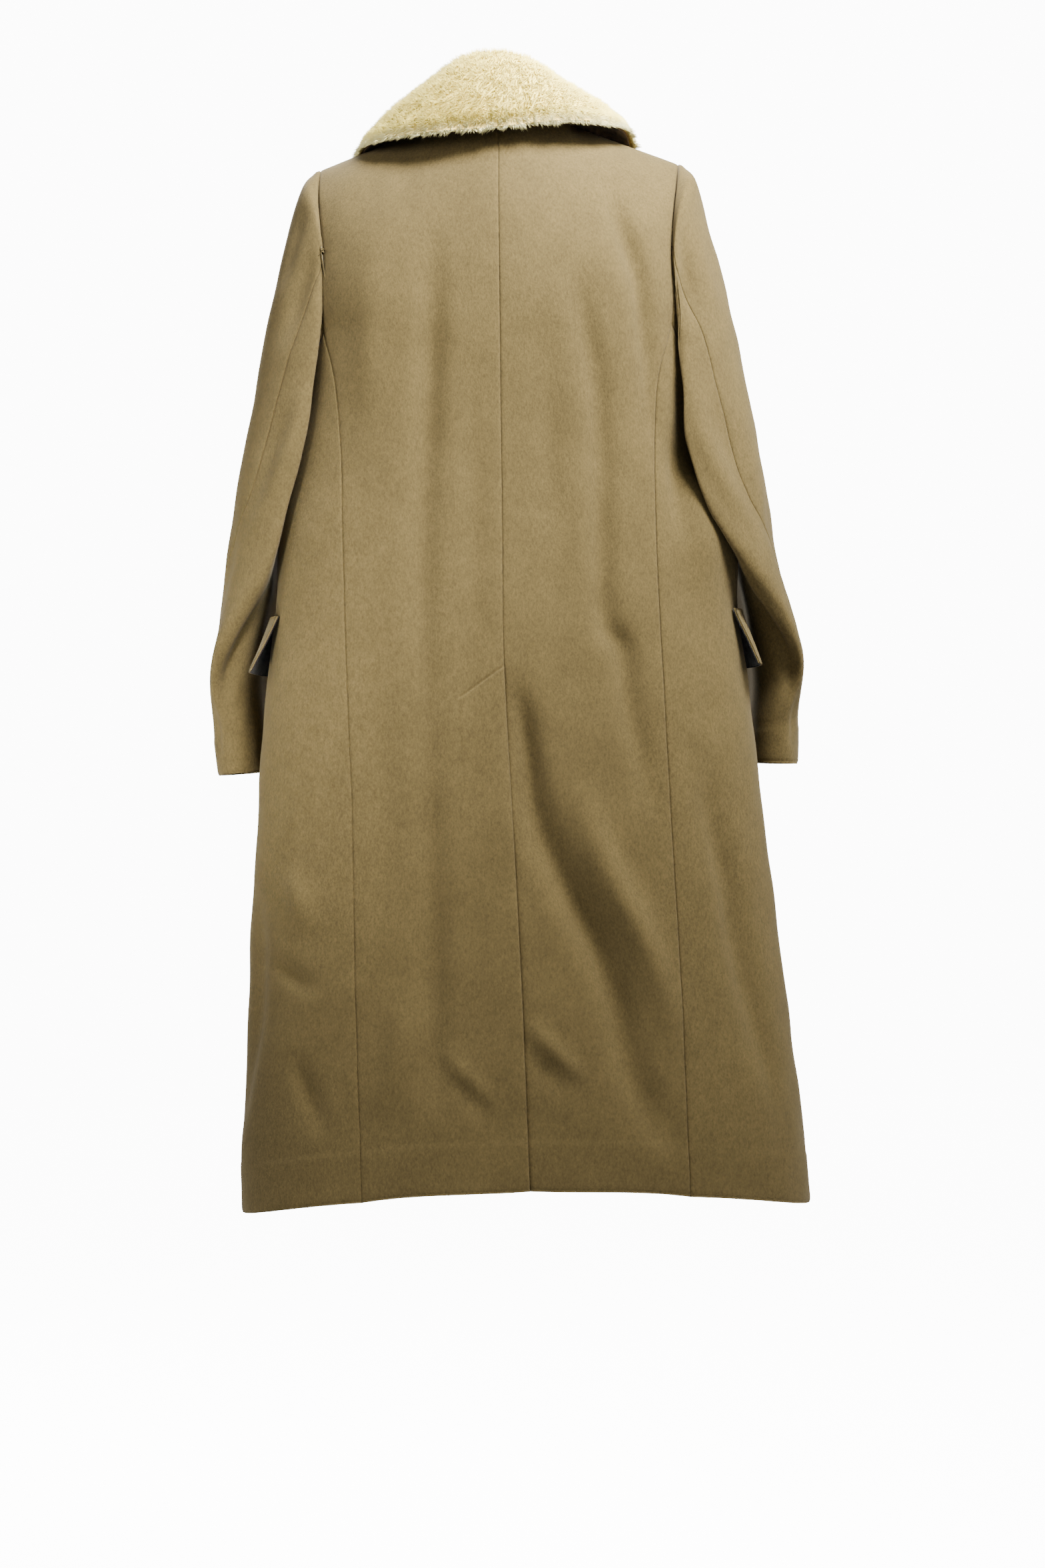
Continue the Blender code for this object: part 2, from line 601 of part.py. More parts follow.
def body_panels():
    columns = panel_columns()
    low = lower_rows()
    all_rows = np.concatenate([low, upper_rows()[1:]])
    for side in ("left", "right"):
        sign = side_sign(side)
        armhole_points, shared, away = seam_direction(side)
        count = len(upper_rows())

        def vent_lift(points):
            distance = np.abs(points[..., 0] - back_seam("centre", points[..., 2]))
            open_part = 1.0 - ease(*VENT_OPENS, points[..., 2])
            return sign * VENT_STEP * open_part * (1.0 - ease(0.0, VENT_FADE, distance))

        back = shell_grid(side, columns, all_rows, vent_lift)
        front = shell_grid(side, 3.0 - columns, all_rows)
        joined_back = share_shoulder_normals(back[1].copy(), front[1])
        joined_front = share_shoulder_normals(front[1].copy(), back[1])
        make_upright(f"back_{side}", back[0], joined_back, back[2], shared[:count][::-1],
                     away[:count][::-1], {"first", "last", "top"})
        make_front(side, all_rows, front[0], joined_front, front[2], shared[-count:], away[-count:])
        stations = np.linspace(1.0, 2.0, SIDE_STEPS + 1)
        grid, normals, moved = shell_grid(side, stations, low)
        under = slice(count - 1, len(armhole_points) - count + 1)
        normals[-1] = shared[under]
        outer = grid + normals * moved[..., None]
        outer = draw_in(outer, {"first", "last"})
        outer[-1] -= away[under] * SEAM_GAP / 2
        inner = outer - normals * CLOTH
        wall(f"side_{side}", *oriented(outer, inner), CAMEL, CLOTH_ROUGH)


def make_upright(name, grid, normals, moved, shared, away, edges):
    """A back or front: side seam below the armpit, armhole above it, shoulder and neckline on top."""
    first_high = len(grid) - len(shared)
    normals[first_high:, -1] = shared
    outer = grid + normals * moved[..., None]
    drawn = draw_in(outer, edges)
    drawn[first_high:, -1] = outer[first_high:, -1] - away * SEAM_GAP / 2
    drawn[-1, -1] += unit(outer[-2, -1] - outer[-1, -1]) * SEAM_GAP / 2
    inner = drawn - normals * CLOTH
    wall(name, *oriented(drawn, inner), CAMEL, CLOTH_ROUGH)


def make_front(side, rises, grid, normals, moved, shared, away):
    """A front with its overlap past the centre line; the left one lies under the right one."""
    other = "right" if side == "left" else "left"
    half = FRONT_SEAM_SHARE * ring_size(other, grid[:, 0, 2])
    for share in (0.5, 1.0):
        station = 3.0 - share * OVERLAP / half
        points = body(other, station, rises)
        way = body_normal(other, station, rises)
        fold = fold_depth(other, points, station)
        grid = np.concatenate([points[:, None], grid], axis=1)
        normals = np.concatenate([way[:, None], normals], axis=1)
        moved = np.concatenate([fold[:, None], moved], axis=1)
    if side == "left":
        moved = moved - OVERLAP_DROP * (1.0 - ease(*OVERLAP_FADE, grid[..., 0]))
    make_upright(f"front_{side}", grid, normals, moved, shared, away, {"last", "top"})


def vent_underlap():
    """The strip behind the left back's vent edge, sewn to the right back, with its slanted top."""
    columns = panel_columns()[: VENT_WIDTH_COLUMNS + 1]
    rows = [rise for rise in lower_rows() if body("left", 0.0, rise)[2] < VENT_TOP - VENT_SLANT]
    station, rise = np.meshgrid(columns, rows + [rows[-1]])
    rise = rise.copy()
    slant = VENT_TOP - VENT_TOP_GAP - VENT_SLANT * columns / columns[-1]
    low = hem_height(columns)
    rise[-1] = (slant - low) / (ARMPIT_Z - low)
    points = body("left", station, rise)
    normals = body_normal("left", station, rise)
    distance = np.abs(points[..., 0] - back_seam("centre", points[..., 2]))
    open_part = 1.0 - ease(*VENT_OPENS, points[..., 2])
    moved = VENT_STEP * open_part * (1.0 - ease(0.0, VENT_FADE, distance))
    moved = moved + fold_depth("left", points, station) - CLOTH - 2 * SEAM_GAP
    outer = points + normals * moved[..., None]
    outer[:, 0, 0] += SEAM_GAP / 2
    inner = outer - normals * CLOTH
    wall("vent_underlap", *oriented(outer, inner), CAMEL, CLOTH_ROUGH)


def sleeve_moves(side, angles, along):
    moved = np.zeros(angles.shape)
    for row in SLEEVE_FOLDS:
        fold = dict(zip(SLEEVE_FOLD_COLUMNS, row))
        if fold["side"] != side:
            continue
        offset = np.mod(angles - smooth(fold["places"], fold["angles"], along) + 180.0, 360.0) - 180.0
        moved += smooth(fold["places"], fold["depths"], along) * np.exp(-(offset / fold["width"]) ** 2)
    return moved


def sleeve_pieces():
    knots = sleeve_knots()
    along = np.concatenate([[0.0], np.linspace(knots[1] * 0.5, 1.0, SLEEVE_STEPS)])
    elbow = smooth(knots, ELBOW_SEAM, along)
    forearm = smooth(knots, FOREARM_SEAM, along)
    settle = ease(0.0, SETTLE, along)
    for side in ("left", "right"):
        points, shared, away = seam_direction(side)
        top = armhole_angles(points)
        elbow_at = int(np.argmin(np.abs(top - ELBOW_SEAM[0])))
        forearm_at = int(np.argmin(np.abs(top - FOREARM_SEAM[0])))
        around = len(points) - 1
        under = np.arange(elbow_at, forearm_at + 1)
        over = np.arange(forearm_at, elbow_at + around + 1) % around
        pieces = (("under", under, elbow, forearm), ("upper", over, forearm, elbow + 360.0))
        for name, picked, start, end in pieces:
            first = np.degrees(np.unwrap(np.radians(top[picked])))
            even = np.linspace(0.0, 1.0, len(picked))
            angles = np.empty((len(along), len(picked)))
            for r in range(len(along)):
                spaced = start[r] + (end[r] - start[r]) * even
                angles[r] = first + (spaced - first) * settle[r]
            top_grid = np.broadcast_to(first, angles.shape)
            rows = np.broadcast_to(along[:, None], angles.shape)
            grid = sleeve(side, top_grid, angles, rows)
            ahead = sleeve(side, top_grid, angles, np.minimum(rows + ALONG_STEP, 1.0))
            behind = sleeve(side, top_grid, angles, np.maximum(rows - ALONG_STEP, 0.0))
            turned = sleeve(side, top_grid + TURN_STEP, angles + TURN_STEP, rows)
            back = sleeve(side, top_grid - TURN_STEP, angles - TURN_STEP, rows)
            normals = unit(np.cross(ahead - behind, turned - back)) * side_sign(side)
            normals[0] = shared[picked]
            moved = sleeve_moves(side, angles, rows)
            outer = grid + normals * moved[..., None]
            drawn = draw_in(outer, {"first", "last"})
            drawn[0] = drawn[0] + away[picked] * HEAD_GAP
            inner = drawn - normals * CLOTH
            wall(f"sleeve_{name}_{side}", *oriented(drawn, inner), CAMEL, CLOTH_ROUGH)


def collar_shares():
    """Collar stations, on the neckline's own columns so that the stand follows the neck edge."""
    back = [COLLAR_SIDE_SHARE * k / NECK_STEPS for k in range(NECK_STEPS + 1)]
    front = [COLLAR_SIDE_SHARE + (1 - COLLAR_SIDE_SHARE) * k / NECK_STEPS for k in range(1, NECK_STEPS + 1)]
    half = np.array(back + front)
    return np.concatenate([-half[:0:-1], half])


def neck_seam(shares):
    """The neckline's point for each collar share."""
    size = np.abs(shares)
    sign = np.where(shares < 0, -1.0, 1.0)
    behind = size <= COLLAR_SIDE_SHARE
    turn = np.where(behind, size / COLLAR_SIDE_SHARE * 90.0,
                    (size - COLLAR_SIDE_SHARE) / (1 - COLLAR_SIDE_SHARE) * COLLAR_END_ANGLE)
    turn = np.radians(turn)
    x = np.where(behind, np.sin(turn), np.cos(turn)) * NECK_HALF * sign
    out = np.where(behind, np.cos(turn), np.sin(turn))
    y = np.where(behind, NECK_SIDE_Y + (NECK_BACK_Y - NECK_SIDE_Y) * out,
                 NECK_SIDE_Y + (NECK_FRONT_Y - NECK_SIDE_Y) * out)
    z = np.where(behind, NECK_BACK_Z * out, NECK_FRONT_Z * out)
    return np.stack([x, y, z], axis=-1)


def stand_foot(shares):
    """Foot of the collar stand: just inside the neck edge of the cloth, by the thickness of both."""
    seams = neck_seam(shares)
    centre = np.array([0.0, (NECK_FRONT_Y + NECK_BACK_Y) / 2])
    feet = []
    for share, seam in zip(shares, seams):
        side = "left" if share >= 0 else "right"
        reach = min(abs(seam[0]) / TIP_X, NECK_HALF / TIP_X)
        station = reach if abs(share) <= COLLAR_SIDE_SHARE else 3.0 - reach
        facing = body_normal(side, station, 2.0)
        room = UNDERCOLLAR + SEAM_GAP + CLOTH * math.hypot(facing[0], facing[1])
        if side == "left" and station > 1.5:
            room += OVERLAP_DROP * float(1.0 - ease(*OVERLAP_FADE, abs(seam[0])))
        inward = unit(centre - seam[:2])
        feet.append([seam[0] + inward[0] * room, seam[1] + inward[1] * room, seam[2] + FOOT_RISE])
    return np.array(feet)


def collar_grid(shares, steps):
    """The folded middle line of the collar at each station, with its direction out of the fold."""
    known = column(COLLAR, COLLAR_COLUMNS, "share")
    rolls = smooth(known, points_of(COLLAR, COLLAR_COLUMNS, "roll"), shares)
    edges = smooth(known, points_of(COLLAR, COLLAR_COLUMNS, "edge"), shares)
    seams = stand_foot(shares)
    grid = np.empty((steps, len(shares), 3))
    for k, (seam, roll, edge) in enumerate(zip(seams, rolls, edges)):
        out = edge - seam
        out[2] = 0.0
        out = unit(out)
        up = np.array([0.0, 0.0, 1.0])
        inner = roll - out * ROLL_RADIUS - up * ROLL_RADIUS * 1.2
        outer = roll + out * ROLL_RADIUS * 1.3 - up * ROLL_RADIUS * 0.9
        fall = unit(edge - outer)
        bow = unit(np.cross(fall, np.cross(up, fall))) * FALL_BOW
        knots = [seam, (seam + inner) / 2, inner, roll, outer, (outer + edge) / 2 + bow, edge]
        knots = np.array(knots)
        spans = np.concatenate([[0.0], np.cumsum(np.linalg.norm(np.diff(knots, axis=0), axis=1))])
        share = spans / spans[-1]
        spread = np.concatenate([np.linspace(0.0, share[2], steps // 3)[:-1],
                                 np.linspace(share[2], share[4], steps // 3 + 1)[:-1],
                                 np.linspace(share[4], 1.0, steps - steps // 3 * 2 + 1)])
        grid[:, k] = smooth(share, knots, spread)
    down = np.gradient(grid, axis=0)
    along = np.gradient(grid, axis=1)
    return grid, unit(np.cross(along, down))


def collar_pieces():
    shares = collar_shares()
    steps = SECTION_STEPS
    grid, normals = collar_grid(shares, steps)
    outer = grid
    inner = grid - normals * UNDERCOLLAR
    wall("undercollar", *oriented(outer, inner), BROWN, UNDERCOLLAR_ROUGH)
    across = np.sin(np.linspace(*FUR_ARC, steps) * math.pi) ** FUR_ARC_POWER
    thick = FUR * (FUR_EDGE + (1.0 - FUR_EDGE) * across)
    low = grid + normals * SEAM_GAP
    low[-1] += unit(grid[-1] - grid[-2]) * FUR_PAST
    high = low + normals * thick[:, None, None]
    wall("collar", *oriented(high, low), CREAM, FUR_ROUGH)


def flaps():
    for side in ("left", "right"):
        station, drop = np.meshgrid(FLAP_STATIONS, np.linspace(0.0, 1.0, FLAP_STEPS + 1))
        low = hem_height(station)
        z = FLAP_TOP - FLAP_DROP * drop
        rise = (z - low) / (top_height(station) - low)
        points = body(side, station, rise)
        normals = body_normal(side, station, rise)
        near_rear = 1.0 - (station - FLAP_STATIONS[0]) / (FLAP_STATIONS[-1] - FLAP_STATIONS[0])
        kick = FLAP_LIE + drop * (FLAP_LEAN + FLAP_KICK[side] * near_rear**3)
        moved = fold_depth(side, points, station) + kick
        lining_low = points + normals * moved[..., None]
        lining_high = lining_low + normals * LINING
        cloth_low = lining_high + normals * SEAM_GAP
        cloth_high = cloth_low + normals * CLOTH
        wall(f"flap_lining_{side}", *oriented(lining_high, lining_low), BLACK, LINING_ROUGH)
        wall(f"pocket_flap_{side}", *oriented(cloth_high, cloth_low), CAMEL, CLOTH_ROUGH)


def buttons():
    for number, height in enumerate(BUTTON_HEIGHTS, 1):
        low = hem_height(3.0)
        rise = (height - low) / (ARMPIT_Z - low)
        rise = rise if height < ARMPIT_Z else 1.0 + (height - ARMPIT_Z) / (NECK_FRONT_Z - ARMPIT_Z)
        spot = body("left", 3.0, rise)
        way = body_normal("left", 3.0, rise)
        bpy.ops.mesh.primitive_cylinder_add(vertices=20, radius=BUTTON_RADIUS, depth=BUTTON_THICK)
        made = bpy.context.object
        mesh = made.data.copy()
        bpy.data.objects.remove(made, do_unlink=True)
        thing = add_object(f"button_{number}", mesh, HORN, HORN_ROUGH)
        mesh.set_sharp_from_angle(angle=math.radians(40))
        thing.location = spot + way * (BUTTON_THICK / 2 + BUTTON_SEAT)
        lean = math.atan2(way[2], -way[1])
        thing.rotation_euler = (math.pi / 2 - lean, 0.0, 0.0)
        bevel = thing.modifiers.new("rounded rim", "BEVEL")
        bevel.width = BUTTON_ROUND
        bevel.segments = 1
        bevel.limit_method = "ANGLE"


clear_scene()
parts = bpy.data.collections.new("overcoat")
bpy.context.scene.collection.children.link(parts)
body_panels()
vent_underlap()
sleeve_pieces()
collar_pieces()
flaps()
buttons()
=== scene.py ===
"""A long camel wool overcoat with a shearling collar, filled out and empty, seen from the back."""
import math

import bmesh
import bpy
import numpy as np
from mathutils import Matrix, Vector, noise


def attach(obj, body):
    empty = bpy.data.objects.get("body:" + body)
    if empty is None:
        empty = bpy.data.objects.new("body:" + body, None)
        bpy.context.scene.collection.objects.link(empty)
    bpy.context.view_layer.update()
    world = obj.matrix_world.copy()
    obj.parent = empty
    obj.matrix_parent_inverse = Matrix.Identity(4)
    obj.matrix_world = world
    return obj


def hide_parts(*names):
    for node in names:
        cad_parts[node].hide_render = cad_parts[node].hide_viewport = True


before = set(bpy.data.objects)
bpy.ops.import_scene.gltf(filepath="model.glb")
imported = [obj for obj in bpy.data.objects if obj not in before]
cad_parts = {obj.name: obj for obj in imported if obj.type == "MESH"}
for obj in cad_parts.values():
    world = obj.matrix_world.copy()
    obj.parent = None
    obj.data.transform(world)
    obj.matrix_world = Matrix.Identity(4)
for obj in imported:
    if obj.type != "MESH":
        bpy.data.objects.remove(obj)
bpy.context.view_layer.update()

# The back
# Two long panels of fulled camel wool, joined down the middle and left open below as a vent.
# Each is cut in one from neck to hem; its seams are pressed open and its hem is turned up by hand.
CLOTH = 0.0022
SEAM_GAP = 0.0003
TURNED_IN = 0.0050
TURNED_PAST = 0.0008
HEM_DEEP = 0.050
HEM_STEP = 0.0006
HEM_FOLD = 0.0040
HEM_SOFT = 0.0020
HEM_SHARE = 0.070
SEAM_SINK = 0.0012
SEAM_SOFT = 0.0011

NECK_HALF = 0.076
NECK_SOFT = 0.105
NECK_SIDE_Y = -0.005
NECK_BACK_Y = 0.057
NECK_BACK_Z = 0.008
NECK_FRONT_Y = -0.090
NECK_FRONT_Z = -0.078
TIP_X = 0.188
TIP_Z = -0.0425
ARMPIT_Z = -0.220
ARMHOLE_DIP = 0.030
SHOULDER_POWER = 2.4
SHOULDER_ROUND = 0.62
NECK_ROUND = 0.80
FRONT_SEAM_SHARE = 0.86
RING_Y = 0.010
BACK_SQUARE = 2.6
FRONT_SQUARE = 2.1
RING_COLUMNS = ("z", "left", "right", "back", "front")
RINGS = (
    (-1.140, 0.2870, 0.3065, 0.146, 0.160),
    (-1.060, 0.2855, 0.3010, 0.142, 0.157),
    (-0.960, 0.2785, 0.2895, 0.137, 0.153),
    (-0.850, 0.2722, 0.2755, 0.131, 0.149),
    (-0.740, 0.2640, 0.2640, 0.126, 0.145),
    (-0.614, 0.2560, 0.2535, 0.120, 0.140),
    (-0.505, 0.2412, 0.2405, 0.113, 0.134),
    (-0.437, 0.2365, 0.2345, 0.108, 0.130),
    (-0.342, 0.2185, 0.2150, 0.104, 0.129),
    (-0.280, 0.2085, 0.2065, 0.105, 0.129),
    (-0.200, 0.1985, 0.1965, 0.108, 0.126),
)
SEAM_COLUMNS = ("z", "centre", "left", "right")
BACK_SEAMS = (
    (-1.130, -0.0141, 0.1550, 0.1752),
    (-0.900, -0.0088, 0.1590, 0.1700),
    (-0.710, -0.0020, 0.1600, 0.1625),
    (-0.570, 0.0033, 0.1637, 0.1575),
    (-0.438, 0.0027, 0.1657, 0.1540),
    (-0.343, 0.0022, 0.1670, 0.1555),
    (-0.270, 0.0018, 0.1730, 0.1620),
    (-0.220, 0.0015, 0.1840, 0.1750),
    (-0.140, 0.0010, 0.1850, 0.1765),
    (-0.070, 0.0005, 0.1885, 0.1840),
    (-0.0425, 0.0000, 0.1880, 0.1880),
)
HEM_STATIONS = (0.0, 1.0, 1.5, 2.0, 3.0)
HEM_HEIGHTS = (-1.098, -1.108, -1.127, -1.134, -1.137)

CREASE_STRENGTH = 1.65
ARMHOLE_REACH = 0.18
# Each crease of the body: the face it is on, points down it, its depth at each point and its half width
BODY_CREASES = (
    ("back", ((0.067, -0.104), (0.074, -0.273), (0.086, -0.465), (0.083, -0.637), (0.081, -0.908),
              (0.080, -1.030)), (0.0, -0.0052, -0.0040, -0.0030, -0.0046, 0.0), 0.015),
    ("back", ((-0.105, -0.060), (-0.124, -0.123), (-0.135, -0.155), (-0.145, -0.212), (-0.157, -0.400)),
     (0.0, -0.0045, -0.0062, -0.0050, 0.0), 0.011),
    ("back", ((-0.074, -0.150), (-0.084, -0.218), (-0.098, -0.316), (-0.099, -0.509), (-0.118, -0.560),
              (-0.126, -0.628), (-0.152, -0.736)),
     (0.0, -0.0030, -0.0042, -0.0050, -0.0056, -0.0040, 0.0), 0.013),
    ("back", ((-0.012, -0.590), (-0.021, -0.655), (-0.029, -0.730)), (0.0, -0.0046, 0.0), 0.009),
    ("back", ((-0.004, -0.571), (-0.022, -0.707), (-0.053, -0.787), (-0.083, -0.847), (-0.106, -0.915),
              (-0.120, -0.986), (-0.163, -1.070)),
     (0.0, -0.0072, -0.0092, -0.0096, -0.0086, -0.0056, 0.0), 0.017),
    ("back", ((-0.066, -0.690), (-0.092, -0.768), (-0.139, -0.868), (-0.160, -0.950)),
     (0.0, 0.0056, 0.0060, 0.0), 0.016),
    ("back", ((-0.183, -0.640), (-0.218, -0.778), (-0.243, -0.914), (-0.269, -1.020)),
     (0.0, -0.0058, -0.0064, 0.0), 0.015),
    ("back", ((-0.013, -0.925), (-0.040, -0.958), (-0.078, -0.995)), (0.0, 0.0030, 0.0), 0.009),
    ("back", ((-0.004, -0.945), (-0.032, -0.980), (-0.058, -1.010)), (0.0, -0.0014, 0.0), 0.010),
    ("back", ((0.078, -0.950), (0.050, -0.980), (0.014, -1.018)), (0.0, 0.0018, 0.0), 0.009),
    ("back", ((0.070, -0.985), (0.046, -1.004), (0.022, -1.034)), (0.0, -0.0012, 0.0), 0.010),
    ("back", ((0.262, -0.866), (0.232, -0.876), (0.196, -0.902)), (0.0, -0.0040, 0.0), 0.008),
    ("back", ((0.228, -0.950), (0.209, -1.000), (0.192, -1.050)), (0.0, -0.0036, 0.0), 0.009),
    ("back", ((0.236, -0.770), (0.217, -0.802), (0.204, -0.842)), (0.0, 0.0036, 0.0), 0.010),
    ("back", ((-0.240, -0.880), (-0.262, -0.980), (-0.274, -1.080)), (0.0, -0.0044, 0.0), 0.009),
    ("back", ((-0.174, -0.320), (-0.178, -0.382), (-0.184, -0.450)), (0.0, -0.0060, 0.0), 0.012),
    ("back", ((-0.192, -0.350), (-0.205, -0.440), (-0.226, -0.540)), (0.0, 0.0050, 0.0), 0.018),
    ("back", ((0.034, -0.240), (0.030, -0.420), (0.036, -0.560), (0.033, -0.760)),
     (0.0, -0.0018, -0.0014, 0.0), 0.014),
    ("back", ((-0.040, -0.200), (-0.048, -0.360), (-0.050, -0.520)), (0.0, -0.0018, 0.0), 0.015),
    ("back", ((0.122, -0.120), (0.134, -0.230), (0.138, -0.370)), (0.0, 0.0026, 0.0), 0.018),
    ("back", ((0.120, -0.480), (0.128, -0.660), (0.124, -0.860)), (0.0, -0.0020, 0.0), 0.018),
    ("back", ((0.112, -0.900), (0.118, -0.960), (0.136, -1.030)), (0.0, 0.0026, 0.0), 0.012),
    ("right", ((0.066, -0.270), (0.064, -0.340), (0.060, -0.400)), (0.0, -0.0080, 0.0), 0.022),
    ("right", ((0.062, -0.370), (0.056, -0.440), (0.044, -0.520)), (0.0, 0.0060, 0.0), 0.026),
    ("right", ((-0.030, -0.560), (-0.020, -0.700), (-0.034, -0.930), (-0.030, -1.090)),
     (0.0, -0.0060, -0.0080, 0.0), 0.020),
    ("right", ((0.048, -0.660), (0.040, -0.820), (0.056, -1.010)), (0.0, 0.0014, 0.0), 0.022),
    ("left", ((0.052, -0.780), (0.062, -0.900), (0.040, -1.050)), (0.0, -0.0060, 0.0), 0.020),
    ("left", ((-0.040, -0.560), (-0.030, -0.760), (-0.050, -1.000)), (0.0, -0.0070, 0.0), 0.019),
    ("left", ((0.010, -0.640), (0.002, -0.820), (0.016, -1.060)), (0.0, 0.0014, 0.0), 0.022),
    ("front", ((0.120, -0.260), (0.128, -0.550), (0.140, -0.850), (0.150, -1.160)),
     (0.0, -0.0050, -0.0082, -0.0084), 0.021),
    ("front", ((-0.110, -0.290), (-0.126, -0.600), (-0.148, -0.880), (-0.160, -1.160)),
     (0.0, -0.0052, -0.0084, -0.0080), 0.020),
    ("front", ((0.060, -0.500), (0.072, -0.800), (0.080, -1.160)), (0.0, 0.0050, 0.0062), 0.019),
    ("front", ((-0.060, -0.560), (-0.074, -0.840), (-0.080, -1.160)), (0.0, 0.0040, 0.0050), 0.018),
    ("front", ((0.026, -0.700), (0.062, -0.860), (0.112, -1.000)), (0.0, -0.0050, 0.0), 0.012),
    ("front", ((-0.190, -0.700), (-0.210, -0.860), (-0.216, -1.020)), (0.0, -0.0050, 0.0), 0.014),
    ("front", ((0.166, -0.200), (0.134, -0.250), (0.100, -0.310)), (0.0, -0.0056, 0.0), 0.010),
    ("front", ((-0.164, -0.205), (-0.130, -0.246), (-0.104, -0.290)), (0.0, -0.0050, 0.0), 0.010),
    ("front", ((-0.014, -0.318), (-0.048, -0.336), (-0.084, -0.344)), (0.0, -0.0024, 0.0), 0.008),
    ("front", ((0.020, -0.430), (0.054, -0.446), (0.090, -0.448)), (0.0, -0.0022, 0.0), 0.008),
)

# Where the vent opens below the centre seam, and the row of stitches that holds its top
VENT_TOP = -0.571
VENT_SLANT = 0.031
VENT_WIDE = 0.046
VENT_STEP = 0.0014
VENT_FADE = 0.055
VENT_OPENS = (VENT_TOP - 0.03, VENT_TOP + 0.02)
VENT_EDGE = 0.0016
VENT_STITCHED = 0.0014
VENT_COLUMN_STEP = 0.0085
VENT_COLUMNS_END = 0.30
VENT_ROWS = (0.556, 0.606)
VENT_ROW_ROOM = 0.002


def smooth(knots, values, at):
    """Value of a smooth curve through the knots at any places; values may be numbers or points."""
    knots = np.asarray(knots, float)
    values = np.asarray(values, float)
    if knots[0] > knots[-1]:
        knots = knots[::-1]
        values = values[::-1]
    at = np.clip(np.asarray(at, float), knots[0], knots[-1])
    steps = np.diff(knots)
    tall = (-1,) + (1,) * (values.ndim - 1)
    chords = np.diff(values, axis=0) / steps.reshape(tall)
    ahead = steps[1:].reshape(tall)
    behind = steps[:-1].reshape(tall)
    middle = (chords[:-1] * ahead + chords[1:] * behind) / (ahead + behind)
    slopes = np.concatenate([chords[:1], middle, chords[-1:]])
    spot = np.clip(np.searchsorted(knots, at, side="right") - 1, 0, len(steps) - 1)
    if values.ndim > 2:
        pick = spot[None, ..., None]
        low, high, rise, fall = (np.take_along_axis(a, i, axis=0)[0] for a, i in
                                 ((values, pick), (values, pick + 1), (slopes, pick), (slopes, pick + 1)))
    else:
        low, high, rise, fall = values[spot], values[spot + 1], slopes[spot], slopes[spot + 1]
    step = steps[spot]
    t = (at - knots[spot]) / step
    if values.ndim > 1:
        t = t[..., None]
        step = step[..., None]
    start = (2 * t**3 - 3 * t**2 + 1) * low + (t**3 - 2 * t**2 + t) * step * rise
    return start + (3 * t**2 - 2 * t**3) * high + (t**3 - t**2) * step * fall


def column(table, names, name):
    return [row[names.index(name)] for row in table]


def ease(low, high, at):
    t = np.clip((np.asarray(at, float) - low) / (high - low), 0.0, 1.0)
    return t * t * (3.0 - 2.0 * t)


def unit(vectors):
    return vectors / np.maximum(np.linalg.norm(vectors, axis=-1, keepdims=True), 1e-12)


def side_sign(side):
    return 1.0 if side == "left" else -1.0


def ring_size(name, z):
    return smooth(column(RINGS, RING_COLUMNS, "z"), column(RINGS, RING_COLUMNS, name), z)


def back_seam(name, z):
    return smooth(column(BACK_SEAMS, SEAM_COLUMNS, "z"), column(BACK_SEAMS, SEAM_COLUMNS, name), z)


def oval_depth(x, half, deep, square):
    return deep * np.clip(1.0 - np.abs(x / half) ** square, 0.0, 1.0) ** (1.0 / square)


def hem_height(station):
    return smooth(HEM_STATIONS, HEM_HEIGHTS, station)


def top_height(station):
    inside = np.clip(station - 1.0, 0.0, 1.0)
    return ARMPIT_Z - ARMHOLE_DIP * np.sin(math.pi * inside) ** 0.7


def skirt(side, station, rise):
    """Body below the armpits: station 0 is the centre back, 1 and 2 the side seams, 3 the centre front."""
    sign = side_sign(side)
    z = hem_height(station) + (top_height(station) - hem_height(station)) * rise
    half = ring_size(side, z)
    deep_back = ring_size("back", z)
    deep_front = ring_size("front", z)
    centre = back_seam("centre", z) * sign
    back_x = back_seam(side, z)
    front_x = FRONT_SEAM_SHARE * half
    x_rear = centre + (back_x - centre) * station
    x_front = front_x * (3.0 - station)
    start = np.arccos(np.clip(back_x / half, 0, 1) ** (BACK_SQUARE / 2))
    end = -np.arccos(np.clip(front_x / half, 0, 1) ** (FRONT_SQUARE / 2))
    angle = start + (end - start) * np.clip(station - 1.0, 0.0, 1.0)
    square = np.where(angle > 0, BACK_SQUARE, FRONT_SQUARE)
    deep = np.where(angle > 0, deep_back, deep_front)
    x_side = half * np.abs(np.cos(angle)) ** (2.0 / square)
    y_side = RING_Y + np.sign(angle) * deep * np.abs(np.sin(angle)) ** (2.0 / square)
    y_rear = RING_Y + oval_depth(x_rear, half, deep_back, BACK_SQUARE)
    y_front = RING_Y - oval_depth(x_front, half, deep_front, FRONT_SQUARE)
    x = np.where(station <= 1.0, x_rear, np.where(station < 2.0, x_side, x_front))
    y = np.where(station <= 1.0, y_rear, np.where(station < 2.0, y_side, y_front))
    return np.stack([x * sign, y, z], axis=-1)


